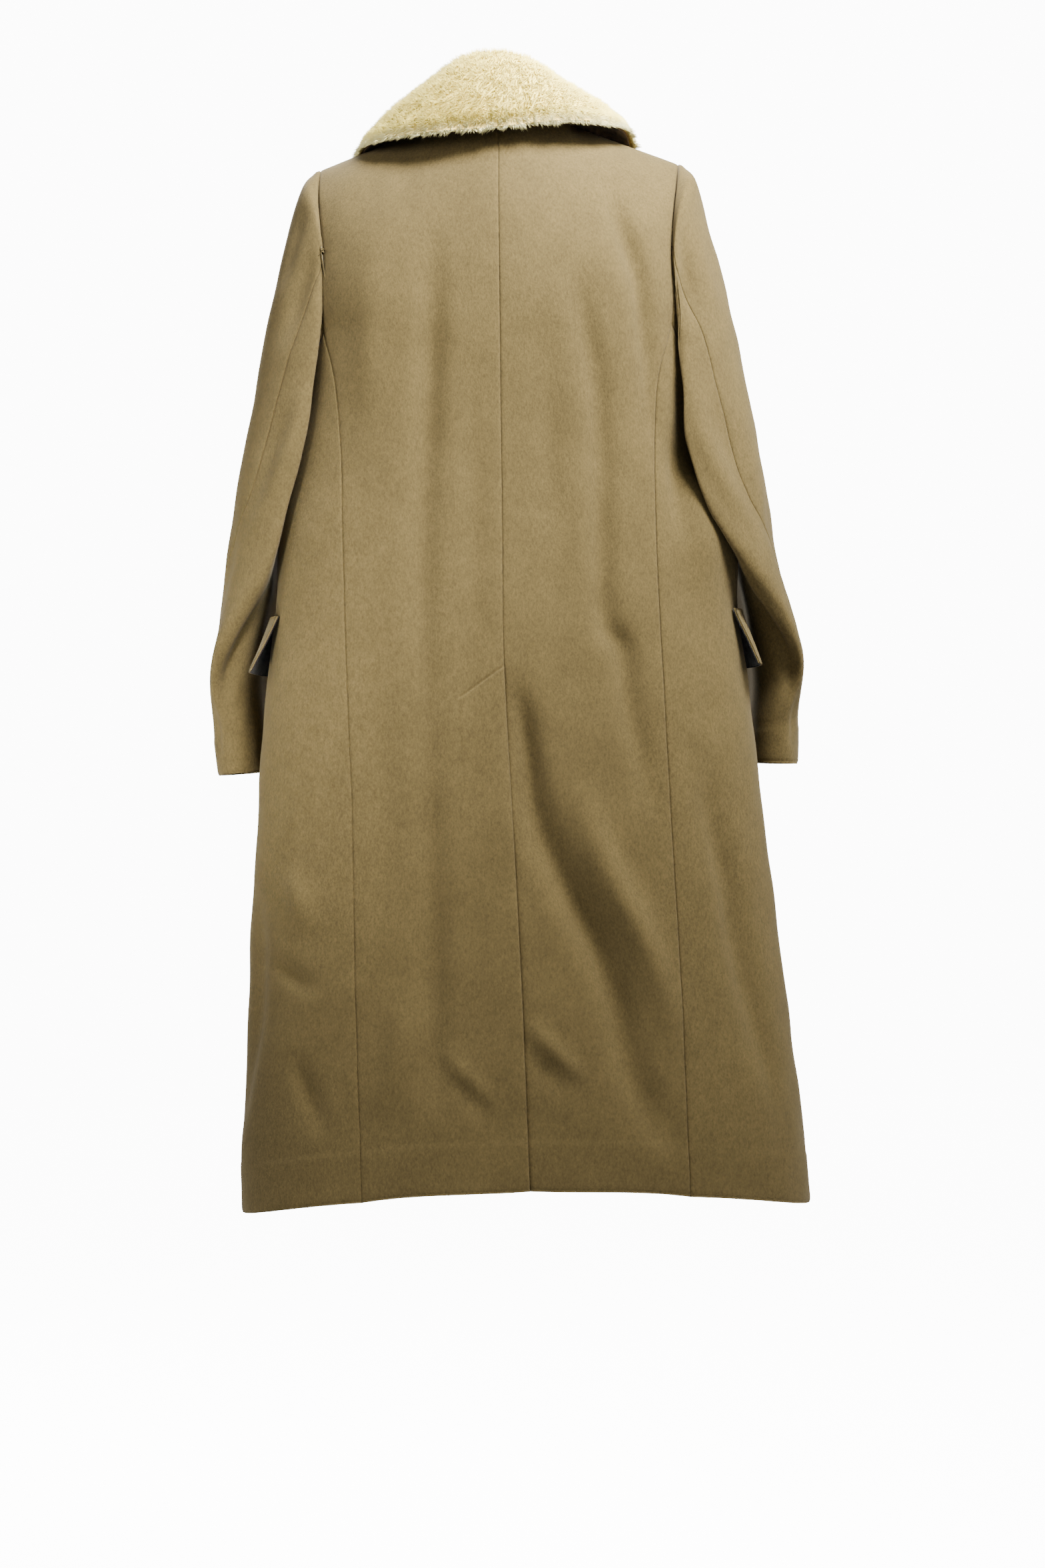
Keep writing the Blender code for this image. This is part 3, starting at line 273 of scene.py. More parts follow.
def yoke(side, share, climb, front):
    """Body above the armpits: share 0 is the centre line and 1 the armhole, climb 1 the top edge."""
    sign = side_sign(side)
    across = share * TIP_X
    neck = np.sqrt(np.clip(1.0 - (across / NECK_HALF) ** 2, 0.0, 1.0))
    soft = np.clip(1.0 - (across / NECK_SOFT) ** 2, 0.0, 1.0) ** 2
    neck = soft + (neck - soft) * ease(0.86, 1.0, climb)
    neck_z = NECK_FRONT_Z if front else NECK_BACK_Z
    neck_y = NECK_FRONT_Y if front else NECK_BACK_Y
    top_z = TIP_Z * np.clip((across - NECK_HALF) / (TIP_X - NECK_HALF), 0.0, 1.0) + neck_z * neck
    top_y = NECK_SIDE_Y + (neck_y - NECK_SIDE_Y) * neck
    z = ARMPIT_Z + (top_z - ARMPIT_Z) * climb
    half = ring_size(side, ARMPIT_Z)
    if front:
        centre = 0.0
        low_x = FRONT_SEAM_SHARE * half * share
        edge = FRONT_SEAM_SHARE * half + (TIP_X - FRONT_SEAM_SHARE * half) * ease(0.0, 1.0, climb)
        low_y = RING_Y - oval_depth(low_x, half, ring_size("front", ARMPIT_Z), FRONT_SQUARE)
    else:
        centre = back_seam("centre", z) * sign
        low_centre = back_seam("centre", ARMPIT_Z) * sign
        low_x = low_centre + (back_seam(side, ARMPIT_Z) - low_centre) * share
        edge = back_seam(side, ARMPIT_Z + (TIP_Z - ARMPIT_Z) * climb)
        low_y = RING_Y + oval_depth(low_x, half, ring_size("back", ARMPIT_Z), BACK_SQUARE)
    power = NECK_ROUND + (SHOULDER_ROUND - NECK_ROUND) * ease(0.2, 0.6, share)
    full = np.clip(1.0 - climb**SHOULDER_POWER, 0.0, 1.0) ** power
    return np.stack([(centre + (edge - centre) * share) * sign, top_y + (low_y - top_y) * full, z], axis=-1)


def body(side, station, rise):
    """Any point of the body: rise 0 to 1 is the skirt part, 1 to 2 the part above the armpits."""
    station, rise = np.broadcast_arrays(np.asarray(station, float), np.asarray(rise, float))
    low = skirt(side, station, np.clip(rise, 0.0, 1.0))
    climb = np.clip(rise - 1.0, 0.0, 1.0)
    back = yoke(side, np.clip(station, 0.0, 1.0), climb, False)
    front = yoke(side, np.clip(3.0 - station, 0.0, 1.0), climb, True)
    high = np.where((station < 1.5)[..., None], back, front)
    return np.where((rise > 1.0)[..., None], high, low)


def body_normal(side, station, rise):
    """Outward direction of the body's surface, from small steps along it."""
    station, rise = np.broadcast_arrays(np.asarray(station, float), np.asarray(rise, float))
    wide = 0.02
    tall = 0.01
    left = np.clip(station - wide, 0.0, 3.0)
    right = np.clip(station + wide, 0.0, 3.0)
    high = rise > 1.0 + 1e-9
    left = np.where(high & (station >= 2.0), np.maximum(left, 2.0), left)
    right = np.where(high & (station <= 1.0), np.minimum(right, 1.0), right)
    under_arm = (station > 1.0 + 1e-9) & (station < 2.0 - 1e-9)
    up = np.minimum(rise + tall, np.where(under_arm, 1.0, 2.0))
    down = np.maximum(rise - tall, 0.0)
    along = body(side, right, rise) - body(side, left, rise)
    climb = body(side, station, up) - body(side, station, down)
    return unit(np.cross(climb, along)) * side_sign(side)


def body_surface(side, station, rise):
    return body(side, station, rise), body_normal(side, station, rise)


def crease(across, height, path, depths, width):
    """Depth of one soft crease at each place, from its points, its depth at each and its half width."""
    path = np.array(path)
    knots = np.arange(len(path))
    fine = np.linspace(0, len(path) - 1, 8 * len(path))
    line = smooth(knots, path, fine)
    depth = smooth(knots, depths, fine)
    near = np.full(across.shape, 1e9)
    amount = np.zeros(across.shape)
    for a, b, deep_a, deep_b in zip(line[:-1], line[1:], depth[:-1], depth[1:]):
        way = b - a
        t = ((across - a[0]) * way[0] + (height - a[1]) * way[1]) / (way @ way)
        t = np.clip(t, 0.0, 1.0)
        gap = (across - a[0] - t * way[0]) ** 2 + (height - a[1] - t * way[1]) ** 2
        closer = gap < near
        near = np.where(closer, gap, near)
        amount = np.where(closer, deep_a + (deep_b - deep_a) * t, amount)
    return amount * np.exp(-near / width**2)


def waviness(points, strength, size, phase):
    """Slow uneven swell of soft cloth, from a few crossed waves."""
    x, y, z = (points[..., k] / size * math.tau for k in range(3))
    swell = np.sin(x * 0.83 + z * 0.31 + phase) * np.sin(z * 0.57 - y * 0.74 + 1.7 * phase)
    swell = swell + 0.6 * np.sin(z * 1.31 + x * 0.9 + 2.3 * phase) * np.sin(x * 1.7 + y * 1.1 - phase)
    return strength * swell


def body_folds(side, points, station):
    """How far the creases and the slow swell move the body's surface out: nothing at the armholes."""
    across = ARMHOLE_REACH * np.maximum(np.maximum(1.0 - station, station - 2.0), 0.0)
    down = np.maximum(top_height(station) - points[..., 2], 0.0)
    free = ease(0.002, 0.034, np.hypot(across, down))
    weights = {
        "back": 1.0 - ease(1.15, 1.45, station),
        "front": ease(1.65, 1.95, station),
        side: ease(1.0, 1.2, station) * (1.0 - ease(1.8, 2.0, station)),
    }
    moved = waviness(points, strength=0.0007, size=0.11, phase=0.4) * ease(0.02, 0.06, -points[..., 2])
    for face, path, depths, width in BODY_CREASES:
        if face in weights:
            across = points[..., 1] if face in ("left", "right") else points[..., 0]
            depth = crease(across, points[..., 2], path, depths, width)
            moved = moved + CREASE_STRENGTH * depth * weights[face]
    return moved * free


def spread(length, step, ends=(0.0, 0.0005, 0.0012, 0.0024)):
    """Shares from 0 to 1, a step apart over a length, and closer beside both ends."""
    even = np.linspace(0.0, 1.0, round(length / step) + 1)
    close = np.array(ends) / length
    inside = even[(even > close[-1] * 1.6) & (even < 1.0 - close[-1] * 1.6)]
    return np.concatenate([close, inside, 1.0 - close[::-1]])


def edge_distance(grid, which):
    """Distance of each point from one edge of its panel, measured along its own row or column."""
    if which in ("first", "last"):
        line = grid[:, 0] if which == "first" else grid[:, -1]
        return np.linalg.norm(grid - line[:, None], axis=-1)
    line = grid[-1] if which == "top" else grid[0]
    return np.linalg.norm(grid - line[None], axis=-1)


def sink(grid, edges):
    """The cloth dips a little where a seam pulls it in."""
    return sum(-SEAM_SINK * np.exp(-edge_distance(grid, edge) / SEAM_SOFT) for edge in edges)


def draw_in(grid, edges):
    """Pull the named edges of a grid back from their seam lines."""
    out = grid.copy()
    if "first" in edges:
        out[:, 0] += unit(grid[:, 1] - grid[:, 0]) * SEAM_GAP / 2
    if "last" in edges:
        out[:, -1] += unit(grid[:, -2] - grid[:, -1]) * SEAM_GAP / 2
    if "top" in edges:
        out[-1] += unit(grid[-2] - grid[-1]) * SEAM_GAP / 2
    return out


def turn_in(outer, inner, normals, edges, deep=TURNED_IN):
    """Add a strip turned to the inside along each sewn edge, so that a seam shows as a dark line."""
    for edge in edges:
        if edge == "top":
            outer, inner, normals = (grid.swapaxes(0, 1) for grid in (outer, inner, normals))
        here, near = (0, 1) if edge == "first" else (-1, -2)
        way = normals[:, here]
        back = unit(outer[:, near] - outer[:, here])
        inward = outer[:, here] + back * CLOTH
        strip_out = (outer[:, here] - way * deep - back * TURNED_PAST)[:, None]
        strip_in = (inward - way * deep)[:, None]
        inner = inner.copy()
        inner[:, here] = inward - way * CLOTH
        pair = ((strip_out, outer), (strip_in, inner), (way[:, None], normals))
        if here:
            pair = tuple((b, a) for a, b in pair)
        outer, inner, normals = (np.concatenate(ab, axis=1) for ab in pair)
        if edge == "top":
            outer, inner, normals = (grid.swapaxes(0, 1) for grid in (outer, inner, normals))
    return outer, inner


def put(name, data):
    """An object of the scene for a mesh, a lamp or a camera."""
    made = bpy.data.objects.new(name, data)
    bpy.context.collection.objects.link(made)
    return made


def wall(name, outer, inner):
    """A closed thin wall between two grids of points."""
    across = outer[:-1, 1:] - outer[:-1, :-1]
    up = outer[1:, :-1] - outer[:-1, :-1]
    if np.sum(np.cross(across, up) * (outer - inner)[:-1, :-1]) < 0:
        outer = outer[:, ::-1]
        inner = inner[:, ::-1]
    rows, cols = outer.shape[:2]
    points = np.concatenate([outer.reshape(-1, 3), inner.reshape(-1, 3)])
    index = np.arange(rows * cols).reshape(rows, cols)
    a, b, c, d = index[:-1, :-1], index[:-1, 1:], index[1:, 1:], index[1:, :-1]
    back = rows * cols
    faces = [np.stack([a, b, c, d], -1).reshape(-1, 4), back + np.stack([a, d, c, b], -1).reshape(-1, 4)]
    for line in (index[0, ::-1], index[-1], index[:, 0], index[::-1, -1]):
        faces.append(np.stack([line[1:], line[:-1], back + line[:-1], back + line[1:]], -1))
    mesh = bpy.data.meshes.new(name)
    mesh.from_pydata(points.tolist(), [], np.concatenate(faces).tolist())
    mesh.validate()
    mesh.shade_smooth()
    return put(name, mesh)


def hem_thickness(height_above, deep=HEM_DEEP):
    """The turned-up hem makes the edge of the cloth double."""
    return CLOTH + (HEM_FOLD - CLOTH) * (1.0 - ease(deep - 0.006, deep + 0.002, height_above))


def hem_ridge(height_above, deep=HEM_DEEP, soft=0.0025):
    """The upper end of the turned-up hem prints through as a faint step, and the edge itself rolls in."""
    step = HEM_STEP * (1.0 - ease(deep - soft, deep + soft, height_above))
    return step - HEM_STEP * 2.0 * np.exp(-height_above / HEM_SOFT)


def panel(name, points, normals, moved, above_hem, seams, turned):
    """A panel of the body: moved by its folds, drawn back from its seams and turned in along some."""
    moved = moved + sink(points, seams)
    outer = draw_in(points + normals * moved[..., None], seams)
    inner = outer - normals * hem_thickness(above_hem)[..., None]
    return wall(name, *turn_in(outer, inner, normals, turned))


def set_inputs(node, values):
    for name, value in values.items():
        node.inputs[name].default_value = value
    return node


def add(tree, kind, values=None):
    """A new node of a tree, with some of its inputs set."""
    return set_inputs(tree.nodes.new("ShaderNode" + kind), values or {})


def new_material(name, values):
    """A material, its node tree and its shader, with the shader's constants set."""
    material = bpy.data.materials.new(name)
    material.use_nodes = True
    tree = material.node_tree
    return material, tree, set_inputs(tree.nodes["Principled BSDF"], values)


def cloudy(tree, scale, detail, distortion=0.0):
    """Noise that stays in place on the piece."""
    place = add(tree, "TexCoord")
    cloud = add(tree, "TexNoise", {"Scale": scale, "Detail": detail, "Distortion": distortion})
    tree.links.new(place.outputs["Object"], cloud.inputs["Vector"])
    return cloud.outputs["Fac"]


def ranged(tree, mask, low, high, low_at=0.0, high_at=1.0):
    """A mask spread out to run from low to high."""
    ramp = add(tree, "MapRange", {"From Min": low_at, "From Max": high_at, "To Min": low, "To Max": high})
    tree.links.new(mask, ramp.inputs["Value"])
    return ramp.outputs["Result"]


def scaled(tree, colour, amount):
    """A colour made darker or lighter by a mask."""
    scale = add(tree, "VectorMath")
    scale.operation = "SCALE"
    tree.links.new(colour, scale.inputs[0])
    tree.links.new(amount, scale.inputs["Scale"])
    return scale.outputs["Vector"]


def two_tone(tree, mask, low, high):
    """Colours between two stops, each a place on the mask and a colour."""
    ramp = add(tree, "ValToRGB")
    for stop, (place, colour) in zip(ramp.color_ramp.elements, (low, high)):
        stop.position = place
        stop.color = colour + (1.0,)
    tree.links.new(mask, ramp.inputs["Fac"])
    return ramp.outputs["Color"]


def emboss(tree, shader, height, distance, strength):
    """Fine relief on a shader's surface."""
    bump = add(tree, "Bump", {"Distance": distance, "Strength": strength})
    tree.links.new(height, bump.inputs["Height"])
    tree.links.new(bump.outputs["Normal"], shader.inputs["Normal"])


def wool_group():
    """Fulled wool: short matted fibres, a faint slanting grain and slow changes of tone."""
    group = bpy.data.node_groups.new("fulled_wool", "ShaderNodeTree")
    sockets = (
        ("INPUT", "Place", "Vector"), ("INPUT", "Tone", "Color"), ("INPUT", "Nap", "Float"),
        ("OUTPUT", "Colour", "Color"), ("OUTPUT", "Height", "Float"), ("OUTPUT", "Rough", "Float"),
    )
    for way, name, kind in sockets:
        group.interface.new_socket(name, in_out=way, socket_type="NodeSocket" + kind)
    link = group.links.new
    given = group.nodes.new("NodeGroupInput")
    out = group.nodes.new("NodeGroupOutput")

    def grain(scale, stretch, turn, detail):
        place = add(group, "Mapping", {"Rotation": (0.0, turn, 0.0), "Scale": stretch})
        cloud = add(group, "TexNoise", {"Scale": scale, "Detail": detail})
        link(given.outputs["Place"], place.inputs["Vector"])
        link(place.outputs["Vector"], cloud.inputs["Vector"])
        return cloud.outputs["Fac"]

    def joined(first, second, operation):
        node = add(group, "Math")
        node.operation = operation
        link(first, node.inputs[0])
        if isinstance(second, float):
            node.inputs[1].default_value = second
        else:
            link(second, node.inputs[1])
        return node.outputs[0]

    def blended(first, second, share):
        return joined(joined(first, share, "MULTIPLY"), joined(second, 1.0 - share, "MULTIPLY"), "ADD")

    fibres = grain(720.0, (1.0, 1.0, 0.60), 0.5, 3.0)
    slant = grain(430.0, (1.0, 1.0, 0.45), -0.7, 3.0)
    patches = grain(60.0, (1.0, 1.0, 0.8), 0.2, 3.0)
    slow = grain(7.0, (1.0, 1.0, 0.7), 0.0, 2.0)
    fine = blended(fibres, slant, 0.55)
    tone = blended(patches, slow, 0.5)
    colour = scaled(group, given.outputs["Tone"], ranged(group, fine, 0.76, 1.24, 0.34, 0.66))
    colour = scaled(group, colour, ranged(group, tone, 0.93, 1.07, 0.38, 0.62))
    link(colour, out.inputs["Colour"])
    link(joined(fine, given.outputs["Nap"], "MULTIPLY"), out.inputs["Height"])
    link(ranged(group, fine, 0.82, 1.0), out.inputs["Rough"])
    return group


def wool(name, tone, nap=1.0):
    """Wool coating: matte, with a soft bloom of short fibres at grazing angles."""
    material, tree, shader = new_material(name, {
        "Specular IOR Level": 0.08,
        "Sheen Weight": 0.06,
        "Sheen Roughness": 0.55,
        "Sheen Tint": (0.95, 0.88, 0.72, 1.0),
    })
    place = add(tree, "TexCoord")
    cloth = add(tree, "Group")
    cloth.node_tree = bpy.data.node_groups.get("fulled_wool") or wool_group()
    set_inputs(cloth, {"Tone": tone + (1.0,), "Nap": nap})
    tree.links.new(place.outputs["Object"], cloth.inputs["Place"])
    tree.links.new(cloth.outputs["Colour"], shader.inputs["Base Color"])
    tree.links.new(cloth.outputs["Rough"], shader.inputs["Roughness"])
    emboss(tree, shader, cloth.outputs["Height"], 0.0006, 0.55)
    return material


CAMEL = (0.089, 0.0655, 0.0252)
camel_wool = wool("camel_wool", CAMEL)


def settle(piece, node, material):
    """Each sewn piece stands for its own solid, moves with the coat and says what it was cut from."""
    piece.data.materials.append(material)
    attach(piece, "root")
    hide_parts(node)


def skirt_rows(count):
    """Heights up the skirt: close together at the hem and even above."""
    return np.concatenate([np.linspace(0.0, HEM_SHARE, 26), np.linspace(HEM_SHARE, 1.0, count)[1:]])


def back_rows():
    """Heights up a back or front, to the neck and shoulder."""
    return np.concatenate([skirt_rows(172), 1.0 + np.sin(np.linspace(0.0, math.pi / 2, 40))[1:]])


def back_columns(step):
    """Places across a back or front: close at both edges and beside the neck point."""
    neck = NECK_HALF / TIP_X
    even = spread(0.185, step)
    even = even[np.abs(even - neck) > 0.012]
    return np.sort(np.concatenate([even, neck - np.array([0.012, 0.005, 0.0015, 0.0])]))


def armhole_frame(side, rows, stations):
    """The armhole's points with the body's directions: down the back, under the arm and up the front."""
    back = [(1.0, rise) for rise in rows[::-1]]
    under = [(s, 1.0) for s in stations[1:-1]]
    front = [(2.0, rise) for rise in rows]
    spots = np.array(back + under + front)
    points, normals = body_surface(side, spots[:, 0], spots[:, 1])
    normals[0] = normals[-1] = unit(normals[0] + normals[-1])
    return points, normals


YOKE_ROWS = back_rows()[back_rows() >= 1.0]
for side in ("left", "right"):
    columns = back_columns(0.0040 if side == "left" else 0.0045)
    rows = back_rows()
    if side == "left":
        vent_columns = np.arange(0.0, VENT_COLUMNS_END, VENT_COLUMN_STEP)
        columns = np.concatenate([columns[columns < 0.014], vent_columns[vent_columns > 0.016],
                                  columns[columns > 0.302]])
        vent_rows = np.linspace(*VENT_ROWS, 36)
        rows = np.concatenate([rows[rows < VENT_ROWS[0] - VENT_ROW_ROOM], vent_rows,
                               rows[rows > VENT_ROWS[1] + VENT_ROW_ROOM]])
    station, rise = np.meshgrid(columns, rows)
    points, normals = body_surface(side, station, rise)
    height = points[..., 2]
    from_centre = np.abs(points[..., 0] - back_seam("centre", height))
    opened = 1.0 - ease(*VENT_OPENS, height)
    above_hem = height - hem_height(station)
    moved = body_folds(side, points, station) + hem_ridge(above_hem)
    moved = moved + side_sign(side) * VENT_STEP * opened * (1.0 - ease(0.0, VENT_FADE, from_centre))
    if side == "left":
        below_line = (VENT_TOP - VENT_SLANT * from_centre / VENT_WIDE) - height
        inside = 1.0 - ease(VENT_WIDE - 0.002, VENT_WIDE + 0.002, from_centre)
        edge = ease(-0.0006, 0.0012, below_line) * np.exp(-below_line / VENT_FADE)
        moved = moved + VENT_EDGE * edge * inside
        moved = moved - VENT_STITCHED * np.exp(-(below_line / 0.0012) ** 2) * inside
    piece = panel(f"back_{side}_cloth", points, normals, moved, above_hem,
                  seams=("first", "last", "top"), turned=("first", "last"))
    settle(piece, f"back_{side}", camel_wool)

# The sides
# A narrow panel under each arm, from the side-back seam to the front, of the same wool.
# It is sewn in before the sleeves, and its top edge is the lower part of the armhole.
for side in ("left", "right"):
    stations = 1.0 + spread(0.215, 0.0050)
    station, rise = np.meshgrid(stations, skirt_rows(160))
    points, normals = body_surface(side, station, rise)
    above_hem = points[..., 2] - hem_height(station)
    moved = body_folds(side, points, station) + hem_ridge(above_hem)
    piece = panel(f"side_{side}_cloth", points, normals, moved, above_hem,
                  seams=("first", "last", "top"), turned=("first", "last", "top"))
    settle(piece, f"side_{side}", camel_wool)

# The fronts
# Two panels that lap over each other down the middle, right over left, with plain pressed edges.
# They are not seen in the photo and are finished plainly, with soft folds like those of the back.
OVERLAP = 0.030
OVERLAP_DROP = 0.0032
OVERLAP_FADE = (OVERLAP + 0.004, OVERLAP + 0.045)
OVERLAP_COLUMNS = 9
EDGE_ROLL = 0.0012
EDGE_SOFT = 0.0018
for side in ("left", "right"):
    other = "right" if side == "left" else "left"
    columns = 3.0 - back_columns(0.0046)
    rows = back_rows()
    station, rise = np.meshgrid(columns, rows)
    points, normals = body_surface(side, station, rise)
    half = FRONT_SEAM_SHARE * ring_size(other, points[:, 0, 2])
    past = []
    for share in np.linspace(1.0, 0.0, OVERLAP_COLUMNS + 1)[:-1]:
        over = 3.0 - share * OVERLAP / half
        past.append((*body_surface(other, over, rows), over))
    lap_points, lap_normals, lap_stations = (np.stack(parts, axis=1) for parts in zip(*past))
    lap_folds = body_folds(other, lap_points, lap_stations)
    own_folds = body_folds(side, points, station)
    points = np.concatenate([lap_points, points], axis=1)
    normals = np.concatenate([lap_normals, normals], axis=1)
    above_hem = points[..., 2] - hem_height(np.concatenate([lap_stations, station], axis=1))
    moved = np.concatenate([lap_folds, own_folds], axis=1) + hem_ridge(above_hem)
    moved = moved - EDGE_ROLL * np.exp(-edge_distance(points, "first") / EDGE_SOFT)
    if side == "left":
        moved = moved - OVERLAP_DROP * (1.0 - ease(*OVERLAP_FADE, points[..., 0]))
    piece = panel(f"front_{side}_cloth", points, normals, moved, above_hem,
                  seams=("last", "top"), turned=("last",))
    settle(piece, f"front_{side}", camel_wool)

# The vent's underlap
# A strip of the same wool behind the open edge of the left back, sewn along the right back.
# Its slanted top is held by the row of stitches that shows on the outside.
columns = np.linspace(0.0, 0.258, 14)
low_rise = np.linspace(0.0, 0.545, 90)
station, rise = np.meshgrid(columns, np.append(low_rise, low_rise[-1]))
slant_top = VENT_TOP - 0.004 - VENT_SLANT * columns / columns[-1]
rise[-1] = (slant_top - hem_height(columns)) / (ARMPIT_Z - hem_height(columns))
points, normals = body_surface("left", station, rise)
from_centre = np.abs(points[..., 0] - back_seam("centre", points[..., 2]))
opened = 1.0 - ease(*VENT_OPENS, points[..., 2])
moved = VENT_STEP * opened * (1.0 - ease(0.0, VENT_FADE, from_centre)) + body_folds("left", points, station)
above_hem = points[..., 2] - hem_height(station)
moved = moved - hem_thickness(above_hem) - 3 * SEAM_GAP
outer = points + normals * moved[..., None]
outer[:, 0, 0] += SEAM_GAP / 2
piece = wall("vent_underlap_cloth", outer, outer - normals * CLOTH)
settle(piece, "vent_underlap", camel_wool)

# The sleeves
# Each is sewn from an upper and an under piece, set into the armhole with a little ease at the top
# and bent forward at the elbow; the hind seam ends in a short slit at the cuff.
SLEEVE_COLUMNS = ("outer_x", "outer_z", "inner_x", "inner_z", "rear_y", "front_y", "rear_dx", "front_dx")
SLEEVES = {
    "left": (
        (0.2060, -0.0620, 0.2100, -0.2530, 0.066, -0.062, -0.0255, 0.000),
        (0.2195, -0.1020, 0.2140, -0.2680, 0.071, -0.068, -0.0328, 0.000),
        (0.2345, -0.1600, 0.2175, -0.2920, 0.076, -0.072, -0.0370, -0.004),
        (0.2485, -0.2225, 0.2215, -0.3250, 0.080, -0.074, -0.0390, -0.006),
        (0.2655, -0.3060, 0.2275, -0.3650, 0.082, -0.077, -0.0385, -0.010),
        (0.2828, -0.3900, 0.2375, -0.4150, 0.079, -0.085, -0.0320, -0.012),
        (0.2968, -0.4740, 0.2450, -0.4800, 0.068, -0.096, -0.0155, -0.016),
        (0.3060, -0.5360, 0.2580, -0.5370, 0.048, -0.104, 0.008, -0.024),
        (0.3136, -0.5780, 0.2610, -0.5800, 0.026, -0.106, 0.013, -0.024),
        (0.3138, -0.6300, 0.2575, -0.6310, 0.010, -0.104, 0.002, -0.012),
        (0.3105, -0.6760, 0.2560, -0.6720, 0.002, -0.100, 0.000, -0.006),
    ),
    "right": (
        (0.2045, -0.0620, 0.2085, -0.2530, 0.076, -0.062, -0.0285, 0.000),
        (0.2155, -0.1040, 0.2120, -0.2680, 0.080, -0.068, -0.0365, 0.000),
        (0.2300, -0.1580, 0.2150, -0.2920, 0.084, -0.072, -0.0445, -0.004),
        (0.2430, -0.2180, 0.2195, -0.3250, 0.090, -0.074, -0.0468, -0.006),
        (0.2590, -0.3020, 0.2245, -0.3650, 0.094, -0.077, -0.0538, -0.010),
        (0.2755, -0.3960, 0.2350, -0.4150, 0.092, -0.085, -0.0463, -0.012),
        (0.2870, -0.4680, 0.2440, -0.4800, 0.078, -0.096, -0.0140, -0.016),
        (0.3045, -0.5320, 0.2550, -0.5370, 0.048, -0.104, 0.009, -0.024),
        (0.3110, -0.5720, 0.2580, -0.5800, 0.026, -0.106, 0.014, -0.024),
        (0.3075, -0.6250, 0.2560, -0.6310, 0.010, -0.104, 0.002, -0.012),
        (0.3070, -0.6740, 0.2550, -0.6720, 0.002, -0.100, 0.000, -0.006),
    ),
}
SLEEVE_SQUARE = 2.35
HEAD_MIDDLE_X = 0.186
ELBOW_SEAM = (88.0, 83.0, 75.0, 66.0, 57.0, 50.0, 42.0, 14.0, 2.0, -4.0, -6.0, -6.0)
FOREARM_SEAM = (236.0, 236.0, 235.0, 234.0, 232.0, 230.0, 228.0, 226.0, 225.0, 225.0, 225.0, 225.0)
SETTLE = 0.16
SLEEVE_LONG = 0.62
TURN_STEP = 5.0
ALONG_STEP = 0.008
DEGREE = 0.0011
CUFF_DEEP = 0.040
HEAD_ROLL = 0.0016
HEAD_WIDE = 0.007
HEAD_TUCK = 0.0045
HEAD_UNDER = 0.0034
HEAD_FREE = 0.03
LINING = 0.0010
SLIT_LONG = 0.060
SLIT_LIFT = 0.0016

SLEEVE_CREASE_STRENGTH = 1.1
# Each crease of the sleeves: its side, angles with places along the sleeve, its depths and its half width
SLEEVE_CREASES = (
    ("left", ((150, 0.62), (128, 0.72), (104, 0.82), (84, 0.90)), (0.0, -0.0070, -0.0085, 0.0), 0.016),
    ("left", ((128, 0.66), (108, 0.75), (88, 0.84)), (0.0, 0.0030, 0.0), 0.010),
    ("left", ((66, 0.10), (56, 0.19), (46, 0.28)), (0.0, -0.0050, 0.0), 0.010),
    ("left", ((40, 0.07), (36, 0.14), (30, 0.20)), (0.0, -0.0030, 0.0), 0.008),
    ("left", ((84, 0.28), (76, 0.42), (60, 0.58)), (0.0, 0.0040, 0.0), 0.011),
    ("left", ((62, 0.34), (56, 0.46), (40, 0.60)), (0.0, -0.0036, 0.0), 0.011),
    ("left", ((20, 0.50), (30, 0.60), (24, 0.72)), (0.0, -0.0030, 0.0), 0.012),
    ("left", ((60, 0.86), (50, 0.92), (54, 0.98)), (0.0, -0.0028, 0.0), 0.010),
    ("left", ((210, 0.56), (236, 0.62), (258, 0.66)), (0.0, -0.0060, 0.0), 0.010),
    ("left", ((214, 0.66), (240, 0.70), (262, 0.72)), (0.0, -0.0050, 0.0), 0.009),
    ("left", ((270, 0.24), (262, 0.38), (270, 0.52)), (0.0, -0.0034, 0.0), 0.014),
    ("right", ((150, 0.60), (124, 0.72), (98, 0.82), (80, 0.90)), (0.0, -0.0070, -0.0095, 0.0), 0.016),
    ("right", ((130, 0.62), (106, 0.73), (82, 0.83)), (0.0, 0.0036, 0.0), 0.010),
    ("right", ((100, 0.08), (94, 0.16), (86, 0.27)), (0.0, -0.0050, 0.0), 0.010),
    ("right", ((62, 0.08), (64, 0.16), (60, 0.24)), (0.0, -0.0044, 0.0), 0.009),
    ("right", ((48, 0.09), (44, 0.18), (40, 0.26)), (0.0, 0.0030, 0.0), 0.010),
    ("right", ((78, 0.30), (70, 0.44), (52, 0.58)), (0.0, 0.0044, 0.0), 0.011),
    ("right", ((54, 0.36), (46, 0.48), (30, 0.62)), (0.0, -0.0040, 0.0), 0.011),
    ("right", ((14, 0.46), (22, 0.58), (16, 0.70)), (0.0, -0.0030, 0.0), 0.012),
    ("right", ((66, 0.86), (56, 0.92), (58, 0.98)), (0.0, -0.0030, 0.0), 0.010),
    ("right", ((212, 0.55), (238, 0.61), (262, 0.64)), (0.0, -0.0060, 0.0), 0.010),
    ("right", ((216, 0.66), (244, 0.71), (264, 0.74)), (0.0, -0.0050, 0.0), 0.009),
    ("right", ((274, 0.22), (264, 0.36), (272, 0.50)), (0.0, -0.0036, 0.0), 0.014),
)


